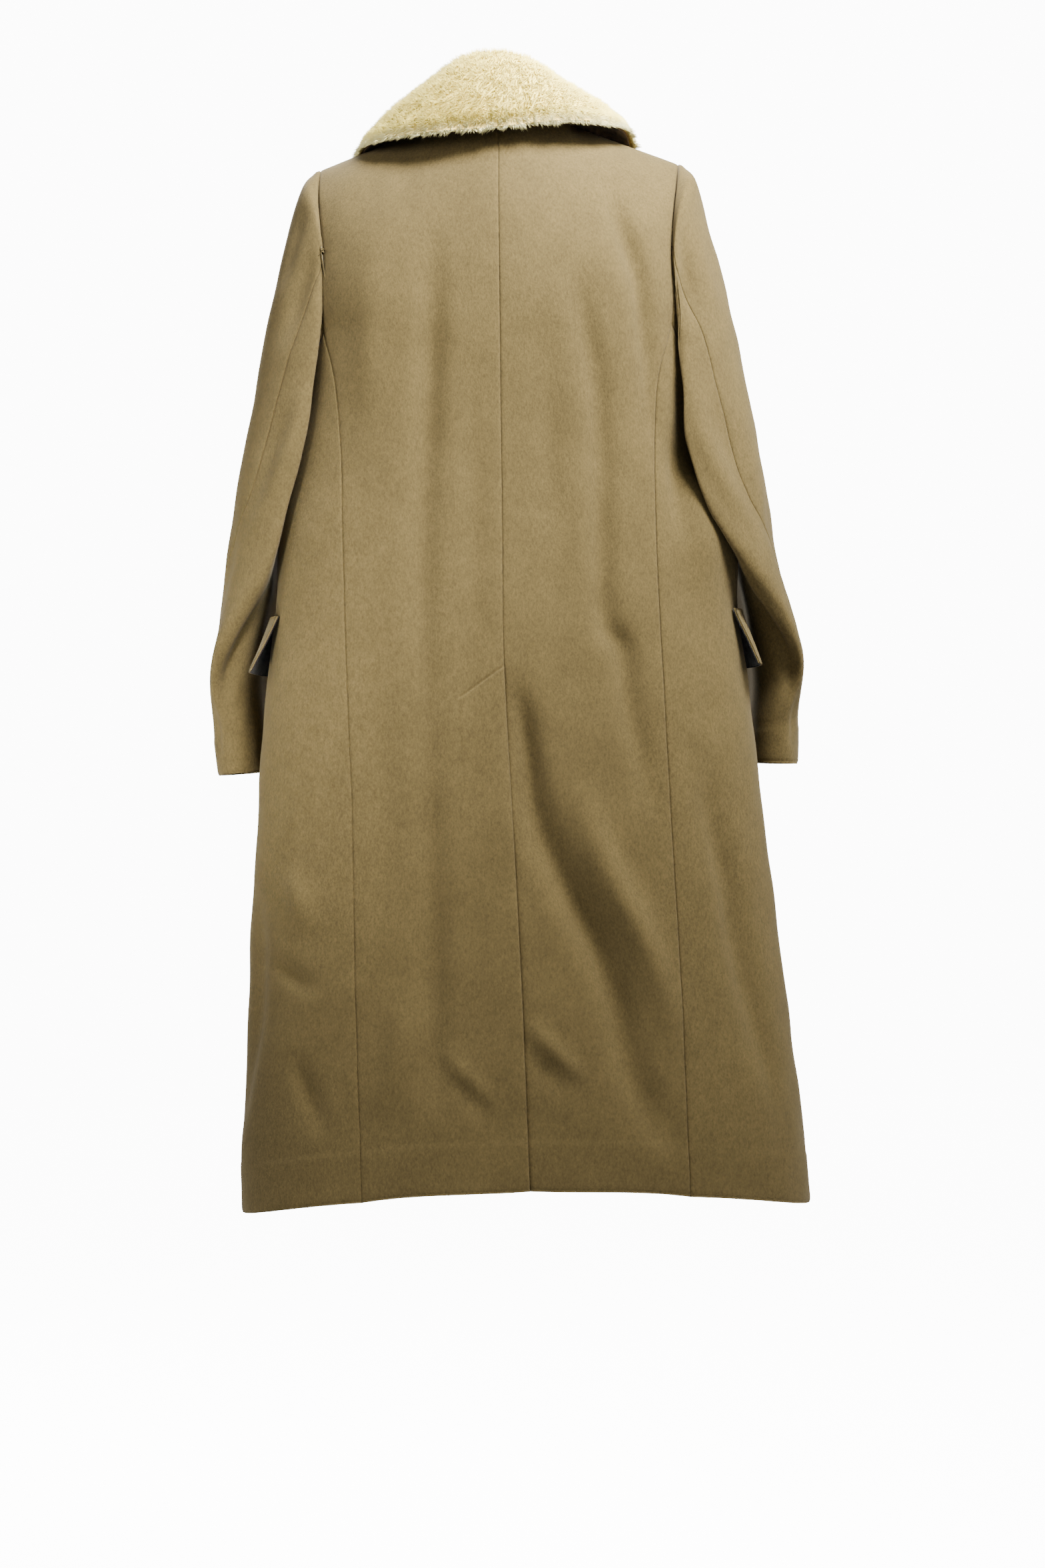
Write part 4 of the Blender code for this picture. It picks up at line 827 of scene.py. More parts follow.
def armhole_angles(points):
    """Angle round the sleeve of each armhole point, from its height: 0 at the tip, 180 under the arm."""
    low = len(points) // 2
    middle = (points[0, 2] + points[low, 2]) / 2
    half = (points[0, 2] - points[low, 2]) / 2
    share = np.clip((points[:, 2] - middle) / half, -1.0, 1.0)
    angles = np.degrees(np.arccos(np.sign(share) * np.abs(share) ** (SLEEVE_SQUARE / 2)))
    angles[low + 1:] = 360.0 - angles[low + 1:]
    return angles


def sleeve_section(side, row, degrees):
    """One ring of the sleeve, at angles from its outer edge over the back."""
    size = dict(zip(SLEEVE_COLUMNS, row))
    angle = np.radians(degrees)
    cos = np.sign(np.cos(angle)) * np.abs(np.cos(angle)) ** (2.0 / SLEEVE_SQUARE)
    sin = np.sign(np.sin(angle)) * np.abs(np.sin(angle)) ** (2.0 / SLEEVE_SQUARE)
    x = (size["outer_x"] + size["inner_x"]) / 2 + (size["outer_x"] - size["inner_x"]) / 2 * cos
    z = (size["outer_z"] + size["inner_z"]) / 2 + (size["outer_z"] - size["inner_z"]) / 2 * cos
    lean = np.where(sin > 0, size["rear_dx"] * sin**3, size["front_dx"] * sin**2)
    y = (size["rear_y"] + size["front_y"]) / 2 + (size["rear_y"] - size["front_y"]) / 2 * sin
    return np.stack([(x + lean) * side_sign(side), y, z], axis=-1)


def sleeve_knots():
    """Where each ring lies along the sleeve, from 0 at the armhole to 1 at the cuff."""
    middles = [(HEAD_MIDDLE_X, (TIP_Z + ARMPIT_Z) / 2)]
    middles += [((row[0] + row[2]) / 2, (row[1] + row[3]) / 2) for row in SLEEVES["left"]]
    lengths = np.linalg.norm(np.diff(np.array(middles), axis=0), axis=1)
    total = np.concatenate([[0.0], np.cumsum(lengths)])
    return total / total[-1]


def round_ring(values, ring_angles, at):
    """Points or directions of the armhole at any angles round it."""
    turned = np.mod(at, 360.0)
    return np.stack([np.interp(turned, ring_angles, values[:, k]) for k in range(3)], axis=-1)


def sleeve(side, ring, ring_angles, at_top, angles, along):
    """Points of the sleeve: angles in degrees, along from 0 at the armhole to 1 at the cuff."""
    sections = [sleeve_section(side, row, angles) for row in SLEEVES[side]]
    return smooth(sleeve_knots(), np.stack([round_ring(ring, ring_angles, at_top)] + sections), along)


for side in ("left", "right"):
    under_stations = np.linspace(1.0, 2.0, 40)
    ring, body_way = armhole_frame(side, YOKE_ROWS, under_stations)
    ring_angles = armhole_angles(ring)
    into = np.full(len(ring), sleeve_knots()[1] * 0.35)
    near = sleeve(side, ring, ring_angles, ring_angles, ring_angles, into)
    tangent = np.roll(ring, -1, axis=0) - np.roll(ring, 1, axis=0)
    tangent[0] = tangent[-1] = ring[1] - ring[-2]
    sleeve_way = unit(np.cross(near - ring, tangent)) * side_sign(side)
    shared = unit(body_way + sleeve_way)
    away = unit(np.cross(unit(tangent), shared)) * side_sign(side)
    along = np.concatenate([np.array([0.0, 0.0012, 0.0030, 0.0056]), np.linspace(0.011, 0.93, 112),
                            np.linspace(0.93, 1.0, 16)[1:]])
    elbow = smooth(sleeve_knots(), ELBOW_SEAM, along)[:, None]
    forearm = smooth(sleeve_knots(), FOREARM_SEAM, along)[:, None]
    blend = ease(0.0, SETTLE, along)[:, None]
    ends = (ELBOW_SEAM[0], FOREARM_SEAM[0])
    pieces = (
        ("under", ends[0], ends[1], elbow, forearm, 0.165, 0.0046),
        ("upper", ends[1], ends[0] + 360.0, forearm, elbow + 360.0, 0.250, 0.0050),
    )
    for name, first, last, start, end, girth, step in pieces:
        share = spread(girth, step)[None, :]
        at_top = np.broadcast_to(first + (last - first) * share, (len(along), share.shape[1]))
        angles = at_top + (start + (end - start) * share - at_top) * blend
        rows = np.broadcast_to(along[:, None], angles.shape)
        points = sleeve(side, ring, ring_angles, at_top, angles, rows)
        ahead = sleeve(side, ring, ring_angles, at_top, angles, np.minimum(rows + ALONG_STEP, 1.0))
        behind = sleeve(side, ring, ring_angles, at_top, angles, np.maximum(rows - ALONG_STEP, 0.0))
        wide = sleeve(side, ring, ring_angles, at_top + TURN_STEP, angles + TURN_STEP, rows)
        back = sleeve(side, ring, ring_angles, at_top - TURN_STEP, angles - TURN_STEP, rows)
        normals = unit(np.cross(ahead - behind, wide - back)) * side_sign(side)
        head_way = unit(round_ring(shared, ring_angles, at_top[0]))
        normals[0] = head_way
        fade = ease(0.0, 0.035, rows)[..., None]
        normals = unit(head_way[None] * (1.0 - fade) + normals * fade)
        from_head = rows * SLEEVE_LONG
        from_cuff = (1.0 - rows) * SLEEVE_LONG
        free = ease(0.0, HEAD_FREE, from_head)
        moved = waviness(points, strength=0.0006, size=0.085, phase=1.3) * free
        for owner, path, depths, width in SLEEVE_CREASES:
            if owner == side:
                laid = [(angle * DEGREE, place * SLEEVE_LONG) for angle, place in path]
                turned_angle = np.where(angles > 360.0, angles - 360.0, angles)
                depth = crease(turned_angle * DEGREE, from_head, laid, depths, width)
                moved = moved + SLEEVE_CREASE_STRENGTH * depth * free
        top_side = ease(-0.2, 0.6, np.cos(np.radians(at_top)))
        roll = np.exp(-((from_head - HEAD_WIDE) / HEAD_WIDE) ** 2) * (0.25 + 0.75 * top_side)
        moved = moved + HEAD_ROLL * roll - SEAM_SINK * np.exp(-from_head / SEAM_SOFT)
        moved = moved + sink(points, ("first", "last"))
        moved = moved + hem_ridge(from_cuff, CUFF_DEEP, soft=0.003)
        if name == "upper":
            from_seam = edge_distance(points, "last")
            slit = 1.0 - ease(SLIT_LONG - 0.004, SLIT_LONG + 0.004, from_cuff)
            moved = moved + SLIT_LIFT * slit * (1.0 - ease(0.0, 0.010, from_seam))
        outer = draw_in(points + normals * moved[..., None], ("first", "last"))
        outer[0] = outer[0] + unit(points[1] - points[0]) * SEAM_GAP
        inner = outer - normals * hem_thickness(from_cuff, CUFF_DEEP)[..., None]
        head_out = unit(round_ring(away, ring_angles, at_top[0]))
        tucked = outer[:1] - head_out * HEAD_TUCK - head_way * HEAD_UNDER
        outer = np.concatenate([tucked, outer])
        inner = np.concatenate([tucked - head_way * LINING, inner])
        normals = np.concatenate([normals[:1], normals])
        sewn = turn_in(outer, inner, normals, ("first", "last"), TURNED_IN * 0.8)
        piece = wall(f"sleeve_{name}_{side}_cloth", *sewn)
        settle(piece, f"sleeve_{name}_{side}", camel_wool)

# The undercollar
# The skin of a wide shearling collar, matte brown suede on this side, sewn into the neck seam.
# It stands at the neck and is folded at the roll line, and it falls over the shoulders to the front.
COLLAR_COLUMNS = ("share", "roll_x", "roll_y", "roll_z", "edge_x", "edge_y", "edge_z")
COLLAR = (
    (-1.00, -0.018, -0.104, -0.056, -0.056, -0.1150, -0.150),
    (-0.80, -0.053, -0.085, -0.031, -0.108, -0.0940, -0.105),
    (-0.60, -0.074, -0.044, 0.000, -0.134, -0.0520, -0.043),
    (-0.42, -0.071, -0.004, 0.016, -0.136, 0.0000, -0.0145),
    (-0.25, -0.058, 0.034, 0.032, -0.112, 0.0480, -0.0095),
    (-0.12, -0.031, 0.055, 0.050, -0.060, 0.0840, -0.0120),
    (0.00, 0.000, 0.062, 0.057, 0.000, 0.0980, -0.0200),
    (0.12, 0.031, 0.055, 0.054, 0.064, 0.0850, -0.0215),
    (0.25, 0.058, 0.034, 0.039, 0.116, 0.0520, -0.0215),
    (0.42, 0.072, -0.004, 0.021, 0.143, 0.0000, -0.0245),
    (0.60, 0.075, -0.044, 0.001, 0.139, -0.0520, -0.049),
    (0.80, 0.053, -0.085, -0.031, 0.108, -0.0940, -0.105),
    (1.00, 0.018, -0.104, -0.056, 0.056, -0.1150, -0.150),
)
COLLAR_SIDE_SHARE = 0.42
COLLAR_END_ANGLE = 81.0
ROLL_RADIUS = 0.0065
FALL_BOW = 0.006
SKIN = 0.0018
COLLAR_PLACES = 170
COLLAR_STEPS = 66


def points_of(table, names, stem):
    return np.array([column(table, names, f"{stem}_{axis}") for axis in "xyz"]).T


def neck_seam(shares):
    """The neckline's point for each place round the collar."""
    size = np.abs(shares)
    behind = size <= COLLAR_SIDE_SHARE
    turn = np.radians(np.where(behind, size / COLLAR_SIDE_SHARE * 90.0,
                               (size - COLLAR_SIDE_SHARE) / (1 - COLLAR_SIDE_SHARE) * COLLAR_END_ANGLE))
    x = np.where(behind, np.sin(turn), np.cos(turn)) * NECK_HALF * np.where(shares < 0, -1.0, 1.0)
    out = np.where(behind, np.cos(turn), np.sin(turn))
    y = NECK_SIDE_Y + (np.where(behind, NECK_BACK_Y, NECK_FRONT_Y) - NECK_SIDE_Y) * out
    return np.stack([x, y, np.where(behind, NECK_BACK_Z, NECK_FRONT_Z) * out], axis=-1)


def stand_foot(shares):
    """Foot of the collar stand, just inside the neck edge of the cloth."""
    seams = neck_seam(shares)
    centre = np.array([0.0, (NECK_FRONT_Y + NECK_BACK_Y) / 2])
    feet = seams.copy()
    for k, (share, seam) in enumerate(zip(shares, seams)):
        side = "left" if share >= 0 else "right"
        reach = min(abs(seam[0]), NECK_HALF) / TIP_X
        station = reach if abs(share) <= COLLAR_SIDE_SHARE else 3.0 - reach
        facing = body_normal(side, station, 2.0)
        room = SKIN + SEAM_GAP + CLOTH * math.hypot(facing[0], facing[1])
        if side == "left" and station > 1.5:
            room += OVERLAP_DROP * float(1.0 - ease(*OVERLAP_FADE, abs(seam[0])))
        feet[k, :2] += unit(centre - seam[:2]) * room
    return feet


def collar_grid(shares, steps):
    """The folded skin of the collar at each place, with its direction out of the fold."""
    known = column(COLLAR, COLLAR_COLUMNS, "share")
    rolls = smooth(known, points_of(COLLAR, COLLAR_COLUMNS, "roll"), shares)
    edges = smooth(known, points_of(COLLAR, COLLAR_COLUMNS, "edge"), shares)
    up = np.array([0.0, 0.0, 1.0])
    grid = np.empty((steps, len(shares), 3))
    for k, (seam, roll, edge) in enumerate(zip(stand_foot(shares), rolls, edges)):
        out = unit((edge - seam) * (1.0, 1.0, 0.0))
        inner = roll - out * ROLL_RADIUS - up * ROLL_RADIUS * 1.2
        outer = roll + out * ROLL_RADIUS * 1.3 - up * ROLL_RADIUS * 0.9
        fall = unit(edge - outer)
        bow = unit(np.cross(fall, np.cross(up, fall))) * FALL_BOW
        knots = np.array([seam, (seam + inner) / 2, inner, roll, outer, (outer + edge) / 2 + bow, edge])
        spans = np.concatenate([[0.0], np.cumsum(np.linalg.norm(np.diff(knots, axis=0), axis=1))])
        grid[:, k] = smooth(spans / spans[-1], knots, np.linspace(0.0, 1.0, steps))
    normals = unit(np.cross(np.gradient(grid, axis=1), np.gradient(grid, axis=0)))
    return grid, normals


collar_shares = np.linspace(-1.0, 1.0, COLLAR_PLACES)
skin_grid, skin_way = collar_grid(collar_shares, COLLAR_STEPS)
suede, tree, shader = new_material("brown_suede", {
    "Specular IOR Level": 0.15,
    "Sheen Weight": 0.15,
    "Roughness": 0.9,
})
mottle = cloudy(tree, 90.0, 6.0)
brown = two_tone(tree, mottle, (0.32, (0.150, 0.096, 0.050)), (0.70, (0.270, 0.180, 0.098)))
tree.links.new(brown, shader.inputs["Base Color"])
emboss(tree, shader, mottle, 0.0005, 0.5)
skin = wall("undercollar_suede", skin_grid, skin_grid - skin_way * SKIN)
settle(skin, "undercollar", suede)

# The collar
# The shearling's clipped cream pile, about 10 mm deep, growing from the other side of the same skin.
# A lumpy bed stands for its matted roots, and tapered hairs lean down the fall, drawn into clumps.
PILE = 0.0100
PILE_EDGE = 0.62
PILE_ARC = (0.15, 0.92)
PILE_ARC_POWER = 0.6
PILE_PAST = 0.003
PILE_ROOT = 0.0042
BED_LEAST = 0.0025


def tufts(points, size, phase):
    """Uneven tufts of the pile: a value from about -1 to 1, changing over about the given size."""
    spots = (points.reshape(-1, 3) / size + phase * 17.0).tolist()
    return np.array([noise.noise(spot) for spot in spots]).reshape(points.shape[:-1])


def pile_material(name, root, tip, rim):
    """Cream pile, pale at the tip, with painted shade that makes it darker and warmer towards the root, and
    greyer along the cut edge.
    """
    material, tree, shader = new_material(name, {
        "Specular IOR Level": 0.20,
        "Roughness": 0.75,
        "Sheen Weight": 0.10,
        "Sheen Tint": (1.0, 0.92, 0.62, 1.0),
    })
    # The "height" attribute carries painted shade: low values mix towards the darker root colour, as if deep
    # in the pile.
    height = add(tree, "Attribute")
    height.attribute_name = "height"
    cut = add(tree, "Attribute")
    cut.attribute_name = "cut_edge"
    colours = []
    for low, high, mask in ((root, tip, height.outputs["Fac"]), (None, rim, cut.outputs["Fac"])):
        mix = add(tree, "Mix")
        mix.data_type = "RGBA"
        tree.links.new(mask, mix.inputs["Factor"])
        if low is None:
            tree.links.new(colours[-1], mix.inputs["A"])
        else:
            mix.inputs["A"].default_value = low + (1.0,)
        mix.inputs["B"].default_value = high + (1.0,)
        colours.append(mix.outputs["Result"])
    shade = ranged(tree, cloudy(tree, 55.0, 4.0), 0.88, 1.06, 0.3, 0.7)
    tree.links.new(scaled(tree, colours[-1], shade), shader.inputs["Base Color"])
    return material


def set_value(mesh, name, values):
    made = mesh.attributes.new(name, "FLOAT", "POINT")
    made.data.foreach_set("value", np.asarray(values, np.float32))


# Painted shade: this darker root colour stands for the shade deep between the hairs and in the gaps at the
# cut edge.
PILE_SHADED_ROOT = (0.56, 0.42, 0.12)
PILE_TIP = (0.98, 0.84, 0.22)
PILE_CUT = (0.84, 0.78, 0.42)
cream_pile = pile_material("cream_pile", PILE_SHADED_ROOT, PILE_TIP, PILE_CUT)
across = np.linspace(0.0, 1.0, COLLAR_STEPS)
arc = np.sin(np.interp(across, (0, 1), PILE_ARC) * math.pi)
pile_deep = PILE * (PILE_EDGE + (1.0 - PILE_EDGE) * arc**PILE_ARC_POWER)
low = skin_grid + skin_way * SEAM_GAP
low[-1] += unit(skin_grid[-1] - skin_grid[-2]) * PILE_PAST
bed_deep = np.maximum(pile_deep - PILE_ROOT, BED_LEAST)[:, None]
lump = 0.0010 * tufts(skin_grid, 0.0050, 0.3) + 0.0013 * tufts(skin_grid, 0.0120, 1.9)
bed = low + skin_way * (bed_deep + lump)[..., None]
bed_piece = wall("collar_pile_bed", bed, low)
# Painted shade on the bed: 0.7 of the way to the tip colour over most of it, dropping to the dark root colour
# at the cut edge.
bed_shade_mix = np.repeat(0.70 * (1.0 - ease(0.90, 1.0, across)), COLLAR_PLACES)
set_value(bed_piece.data, "height", np.tile(bed_shade_mix, 2))
set_value(bed_piece.data, "cut_edge", np.zeros(len(bed_piece.data.vertices)))
settle(bed_piece, "collar", cream_pile)

HAIR_LONG = 0.0068
HAIR_WIDE = 0.00046
HAIR_PIECES = 3
HAIRS_EACH = 35000
EDGE_HAIR_SHARE = 0.22
CLUMP = 0.0060
RAGGED_CLUMP = 0.0048
LEAN_SPREAD = 0.16
ROOT_SUNK = 0.0008


def surface_at(grid, row, col):
    """Points or directions of a grid at places between its rows and columns."""
    r = np.clip(row.astype(int), 0, grid.shape[0] - 2)
    c = np.clip(col.astype(int), 0, grid.shape[1] - 2)
    u = (row - r)[:, None]
    v = (col - c)[:, None]
    low_side = grid[r, c] * (1 - v) + grid[r, c + 1] * v
    return low_side * (1 - u) + (grid[r + 1, c] * (1 - v) + grid[r + 1, c + 1] * v) * u


def hair_mesh(name, roots, ways, lengths, widths, cut, random):
    """Many closed three-sided spikes, one for each root."""
    count = len(roots)
    helper = np.where(np.abs(ways[:, 2:3]) < 0.9, np.array([[0.0, 0.0, 1.0]]), np.array([[1.0, 0.0, 0.0]]))
    first = unit(np.cross(ways, helper))
    second = np.cross(ways, first)
    spin = random.uniform(0.0, math.tau, count)
    corners = []
    for k in range(3):
        angle = spin + math.tau * k / 3
        turned = first * np.cos(angle)[:, None] + second * np.sin(angle)[:, None]
        corners.append(roots + turned * widths[:, None])
    tips = roots + ways * lengths[:, None]
    points = np.stack(corners + [tips], axis=1).reshape(-1, 3)
    base = np.arange(count)[:, None] * 4
    sides = ((0, 1, 3), (1, 2, 3), (2, 0, 3), (0, 2, 1))
    faces = np.concatenate([base + np.array([side]) for side in sides])
    mesh = bpy.data.meshes.new(name)
    mesh.from_pydata(points.tolist(), [], faces.tolist())
    mesh.shade_smooth()
    # Painted shade down each hair: its root corners take the darker root colour and its tip the pale one.
    set_value(mesh, "height", np.tile([0.35, 0.35, 0.35, 1.0], count))
    set_value(mesh, "cut_edge", np.repeat(cut, 4))
    return put(name, mesh)


down_way = unit(np.gradient(skin_grid, axis=0))
for number in range(HAIR_PIECES):
    random = np.random.default_rng(41 + number)
    count = HAIRS_EACH
    edge_count = int(count * EDGE_HAIR_SHARE)
    row = np.concatenate([random.uniform(0.0, 1.0, count - edge_count) * (COLLAR_STEPS - 1),
                          (1.0 - random.uniform(0.0, 1.0, edge_count) ** 1.6 * 0.11) * (COLLAR_STEPS - 1)])
    share = (number + random.uniform(0.0, 1.0, count)) / HAIR_PIECES
    col = share * (COLLAR_PLACES - 1)
    row = np.minimum(row, COLLAR_STEPS - 1.001)
    col = np.minimum(col, COLLAR_PLACES - 1.001)
    root = surface_at(bed, row, col)
    floor_point = surface_at(low, row, col)
    out = surface_at(skin_way, row, col)
    down = surface_at(down_way, row, col)
    sideways = np.cross(out, down)
    near_edge = ease(0.93, 1.0, row / (COLLAR_STEPS - 1))
    near_end = ease(0.97, 1.0, np.abs(share * 2.0 - 1.0))
    sunk = random.uniform(0.0, 1.0, count) * near_edge * 0.8
    root = root + (floor_point - root) * sunk[:, None]
    clump_a = tufts(root, CLUMP, 0.9)
    clump_b = tufts(root, CLUMP, 2.6)
    lean_down = 0.30 + 0.62 * clump_a + 0.9 * near_edge + random.normal(0.0, LEAN_SPREAD, count)
    lean_side = (0.62 + 1.1 * near_edge) * clump_b + random.normal(0.0, LEAN_SPREAD, count)
    lean_side = lean_side + near_end * np.sign(share - 0.5) * -0.7
    upright = out * (1.0 - 0.45 * near_edge)[:, None]
    way = unit(upright + down * lean_down[:, None] + sideways * lean_side[:, None])
    ragged = tufts(root, RAGGED_CLUMP, 4.2)
    length = HAIR_LONG * random.uniform(0.70, 1.10, count) * (1.0 + near_edge * (0.12 + 0.75 * ragged))
    width = HAIR_WIDE * random.uniform(0.75, 1.25, count)
    root = root - out * ROOT_SUNK
    hair = hair_mesh(f"collar_pile_{number + 1}", root, way, length, width, near_edge * 0.9, random)
    hair.data.materials.append(cream_pile)
    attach(hair, "root")

# The pocket flaps
# A slanting flap over each side pocket, of the same wool outside and glossy black lining inside.
# It is caught in the pocket's seam along the top, and its hind end stands away from the coat.
FLAP_STATIONS = (1.42, 2.149)
FLAP_TOP = -0.5135
FLAP_DROP = 0.060
FLAP_LIE = 0.0012
FLAP_LEAN = 0.0035
FLAP_KICK = {"left": 0.021, "right": 0.017}
satin, tree, shader = new_material("black_satin", {
    "Base Color": (0.009, 0.0085, 0.0075, 1.0),
    "Specular IOR Level": 0.15,
    "Sheen Weight": 0.05,
})
weave = cloudy(tree, 140.0, 5.0)
tree.links.new(ranged(tree, weave, 0.30, 0.48), shader.inputs["Roughness"])
emboss(tree, shader, weave, 0.0012, 0.5)
for side in ("left", "right"):
    stations = np.linspace(*FLAP_STATIONS, 46)
    drops = np.concatenate([np.linspace(0.0, 0.92, 16), np.linspace(0.95, 1.0, 4)])
    station, drop = np.meshgrid(stations, drops)
    low_z = hem_height(station)
    rise = (FLAP_TOP - FLAP_DROP * drop - low_z) / (top_height(station) - low_z)
    points, normals = body_surface(side, station, rise)
    near_rear = 1.0 - (station - FLAP_STATIONS[0]) / (FLAP_STATIONS[1] - FLAP_STATIONS[0])
    kick = FLAP_LIE + drop * (FLAP_LEAN + FLAP_KICK[side] * near_rear**3)
    moved = body_folds(side, points, station) + kick
    rim = np.minimum(np.minimum(1.0 - drop, near_rear * 3.0), (1.0 - near_rear) * 3.0)
    puff = 0.0006 * (1.0 - np.exp(-rim * 9.0))
    lining_low = points + normals * moved[..., None]
    lining_high = lining_low + normals * LINING
    cloth_low = lining_high + normals * SEAM_GAP
    cloth_high = cloth_low + normals * (CLOTH - 0.0003 + puff)[..., None]
    lining = wall(f"flap_lining_{side}_satin", lining_high, lining_low)
    settle(lining, f"flap_lining_{side}", satin)
    flap = wall(f"pocket_flap_{side}_cloth", cloth_high, cloth_low)
    settle(flap, f"pocket_flap_{side}", camel_wool)

# The buttons
# Four round dark horn buttons with a raised rim and four holes, sewn through with brown thread.
# They sit just off the right front, where they were sewn, with the cloth of the overlap behind them.
BUTTON_HEIGHTS = (-0.205, -0.320, -0.435, -0.550)
BUTTON_RADIUS = 0.0130
BUTTON_THICK = 0.0040
BUTTON_SEAT = 0.0006
HOLE_RADIUS = 0.0012
HOLE_APART = 0.0021
THREAD = 0.00045
horn, tree, shader = new_material("dark_horn", {"Roughness": 0.34})
streaks = cloudy(tree, 160.0, 5.0, 1.4)
dark = two_tone(tree, streaks, (0.0, (0.018, 0.010, 0.006)), (1.0, (0.120, 0.066, 0.030)))
tree.links.new(dark, shader.inputs["Base Color"])
thread_colour = wool("brown_thread", (0.06, 0.035, 0.018), 0.3)


def finished(shape, name):
    """The mesh of a closed shape, all its faces turned out."""
    bmesh.ops.recalc_face_normals(shape, faces=shape.faces)
    mesh = bpy.data.meshes.new(name)
    shape.to_mesh(mesh)
    shape.free()
    return mesh


def lathe(profile, turns):
    """A closed round shape from a profile of radii and heights."""
    shape = bmesh.new()
    rings = []
    for radius, height in profile:
        if radius == 0.0:
            rings.append([shape.verts.new((0.0, 0.0, height))])
        else:
            angles = [math.tau * k / turns for k in range(turns)]
            rings.append([shape.verts.new((radius * math.cos(angle), radius * math.sin(angle), height))
                          for angle in angles])
    for low_ring, high_ring in zip(rings[:-1], rings[1:]):
        for k in range(turns):
            n = (k + 1) % turns
            face = [low_ring[k % len(low_ring)], low_ring[n % len(low_ring)],
                    high_ring[n % len(high_ring)], high_ring[k % len(high_ring)]]
            shape.faces.new([v for i, v in enumerate(face) if v not in face[:i]])
    return finished(shape, "round")


def button_shape():
    """One button facing up, with its holes cut and its thread crossed over them."""
    r = BUTTON_RADIUS
    t = BUTTON_THICK
    profile = ((0.0, -t / 2), (r * 0.70, -t / 2), (r * 0.94, -t * 0.30), (r, 0.0), (r * 0.97, t * 0.34),
               (r * 0.88, t / 2), (r * 0.78, t * 0.42), (r * 0.70, t * 0.20), (r * 0.60, t * 0.14),
               (0.0, t * 0.10))
    disc = put("button_disc", lathe(profile, 48))
    bore = ((0.0, -t), (HOLE_RADIUS, -t), (HOLE_RADIUS, t), (0.0, t))
    for sx in (-1, 1):
        for sy in (-1, 1):
            hole = put("hole", lathe(bore, 14))
            hole.location = (sx * HOLE_APART, sy * HOLE_APART, 0.0)
            cut = disc.modifiers.new("hole", "BOOLEAN")
            cut.operation = "DIFFERENCE"
            cut.solver = "EXACT"
            cut.object = hole
            bpy.context.view_layer.update()
            solid = bpy.data.meshes.new_from_object(disc.evaluated_get(bpy.context.evaluated_depsgraph_get()))
            disc.modifiers.clear()
            disc.data = solid
            bpy.data.objects.remove(hole, do_unlink=True)
    shape = disc.data.copy()
    bpy.data.objects.remove(disc, do_unlink=True)
    return shape


def thread_shape():
    """Two crossed strands over the holes, as one closed mesh."""
    shape = bmesh.new()
    reach = HOLE_APART * math.sqrt(2.0)
    for turn, lift in ((math.pi / 4, 0.0), (-math.pi / 4, THREAD)):
        for beside in (-1.0, 1.0):
            path = []
            for k in range(9):
                t = -1.0 + 2.0 * k / 8
                path.append((t * reach, beside * THREAD * 0.9,
                             BUTTON_THICK * 0.10 + THREAD * (1.0 - t**6) - BUTTON_THICK * 0.25 * t**6 + lift))
            rings = []
            for x, y, z in path:
                rings.append([shape.verts.new(Matrix.Rotation(turn, 3, "Z") @ Vector(
                    (x, y + THREAD * math.cos(math.tau * n / 6), z + THREAD * math.sin(math.tau * n / 6))))
                    for n in range(6)])
            for a, b in zip(rings[:-1], rings[1:]):
                for n in range(6):
                    shape.faces.new((a[n], a[(n + 1) % 6], b[(n + 1) % 6], b[n]))
            shape.faces.new(rings[0][::-1])
            shape.faces.new(rings[-1])
    return finished(shape, "thread")


disc_mesh = button_shape()
thread_mesh = thread_shape()
for number, height in enumerate(BUTTON_HEIGHTS, 1):
    low_z = float(hem_height(3.0))
    rise = (height - low_z) / (ARMPIT_Z - low_z)
    if height > ARMPIT_Z:
        rise = 1.0 + (height - ARMPIT_Z) / (NECK_FRONT_Z - ARMPIT_Z)
    spot, way = body_surface("left", 3.0, rise)
    centre = spot + way * (BUTTON_THICK / 2 + BUTTON_SEAT)
    lean = math.atan2(way[2], -way[1])
    stand = Matrix.Translation(Vector(centre)) @ Matrix.Rotation(math.pi / 2 - lean, 4, "X")
    for shape, material, label in ((disc_mesh, horn, "horn"), (thread_mesh, thread_colour, "thread")):
        mesh = shape.copy()
        mesh.transform(stand)
        mesh.materials.clear()
        mesh.materials.append(material)
        if label == "horn":
            mesh.shade_smooth()
            mesh.set_sharp_from_angle(angle=math.radians(35))
        piece = put(f"button_{number}_{label}", mesh)
        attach(piece, "root")
        if label == "horn":
            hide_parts(f"button_{number}")

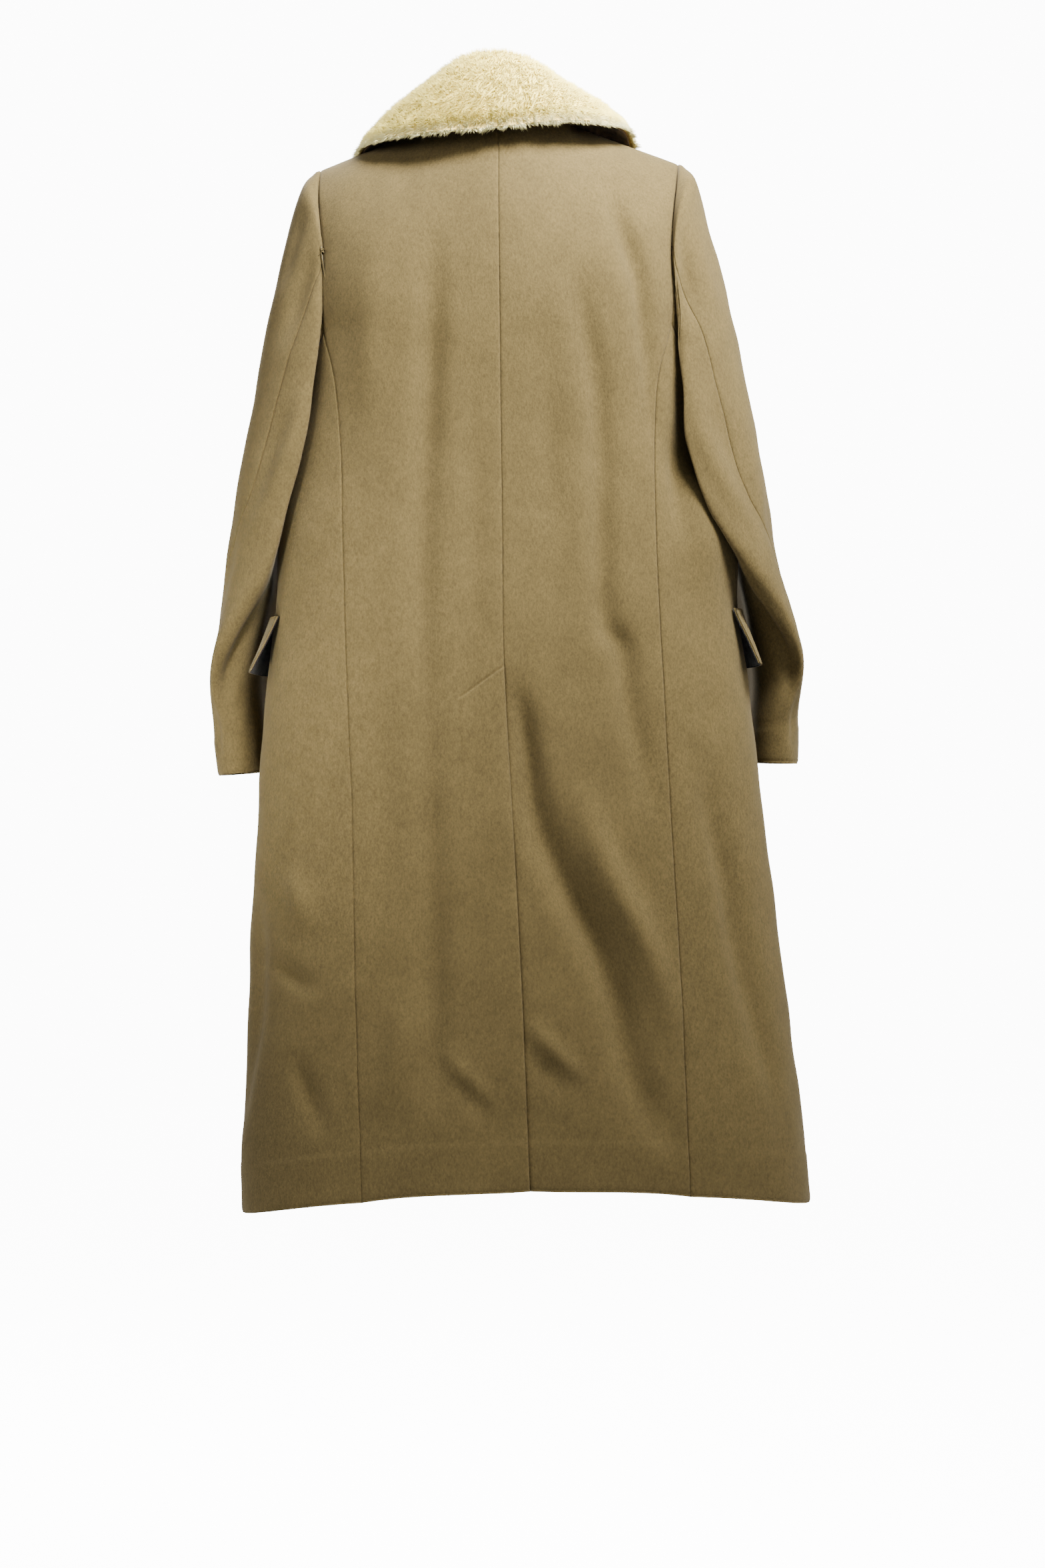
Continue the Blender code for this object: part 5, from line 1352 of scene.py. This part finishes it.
# The studio
# A pale floor well below the hem under an even white sky that only the camera sees at full strength,
# a soft key light above the coat's back, weaker lights round it, and the camera square to the back.
FLOOR_Z = -1.75
ROOM = 7.0
SKY_SEEN = 12.0
SKY_LIGHT = 0.16
bpy.ops.mesh.primitive_plane_add(size=2 * ROOM, location=(0.0, 0.0, FLOOR_Z))
studio = bpy.context.object
studio.name = "studio_floor"
paper, tree, shader = new_material("studio_paper", {
    "Base Color": (0.90, 0.90, 0.90, 1.0),
    "Emission Color": (1.0, 1.0, 1.0, 1.0),
})
seen = add(tree, "LightPath")
bright = add(tree, "Math")
bright.operation = "MULTIPLY"
bright.inputs[1].default_value = SKY_SEEN
tree.links.new(seen.outputs["Is Camera Ray"], bright.inputs[0])
tree.links.new(bright.outputs[0], shader.inputs["Emission Strength"])
studio.data.materials.append(paper)

LIGHTS = (
    ("key", (-0.72, 0.86, 1.06), (0.0, 0.0, -0.02), 0.7, 34.0, 64.0),
    ("low_fill", (0.5, 2.8, 0.2), (0.0, 0.0, -0.6), 1.6, 3.0, 180.0),
    ("left_fill", (2.3, 1.0, 0.5), (0.0, 0.0, -0.4), 1.2, 50.0, 180.0),
    ("sleeve_fill", (1.1, 1.3, -1.0), (0.31, 0.0, -0.56), 0.3, 1.5, 26.0),
    ("right_fill", (-2.4, 0.5, 0.5), (0.0, 0.0, -0.5), 1.4, 46.0, 180.0),
    ("front_fill", (0.4, -2.0, 1.2), (0.0, 0.0, -0.5), 1.6, 170.0, 180.0),
)
LAMP_TONE = (1.0, 0.985, 0.955)
for name, place, aim, size, power, spread_of in LIGHTS:
    lamp = bpy.data.lights.new(name, "AREA")
    lamp.shape = "SQUARE"
    lamp.size = size
    lamp.energy = power
    lamp.spread = math.radians(spread_of)
    lamp.color = LAMP_TONE
    holder = put(name, lamp)
    holder.location = place
    holder.rotation_euler = (Vector(aim) - Vector(place)).to_track_quat("-Z", "Y").to_euler()
world = bpy.data.worlds.new("studio_air")
bpy.context.scene.world = world
world.use_nodes = True
air = world.node_tree
ray = add(air, "LightPath")
level = ranged(air, ray.outputs["Is Camera Ray"], SKY_LIGHT, SKY_SEEN)
air.nodes["Background"].inputs["Color"].default_value = (1.0, 1.0, 1.0, 1.0)
air.links.new(level, air.nodes["Background"].inputs["Strength"])

CAMERA_AWAY = 3.2
AIM = Vector((-0.0132, 0.0, -0.6905))
TILT = -1.0
camera = put("camera", bpy.data.cameras.new("camera"))
camera.data.lens = 70.0
camera.data.sensor_width = 36.0
camera.location = (AIM.x, CAMERA_AWAY, AIM.z)
aimed = (AIM - camera.location).to_track_quat("-Z", "Y").to_matrix().to_4x4()
camera.rotation_euler = (aimed @ Matrix.Rotation(math.radians(TILT), 4, "Z")).to_euler()
bpy.context.scene.camera = camera
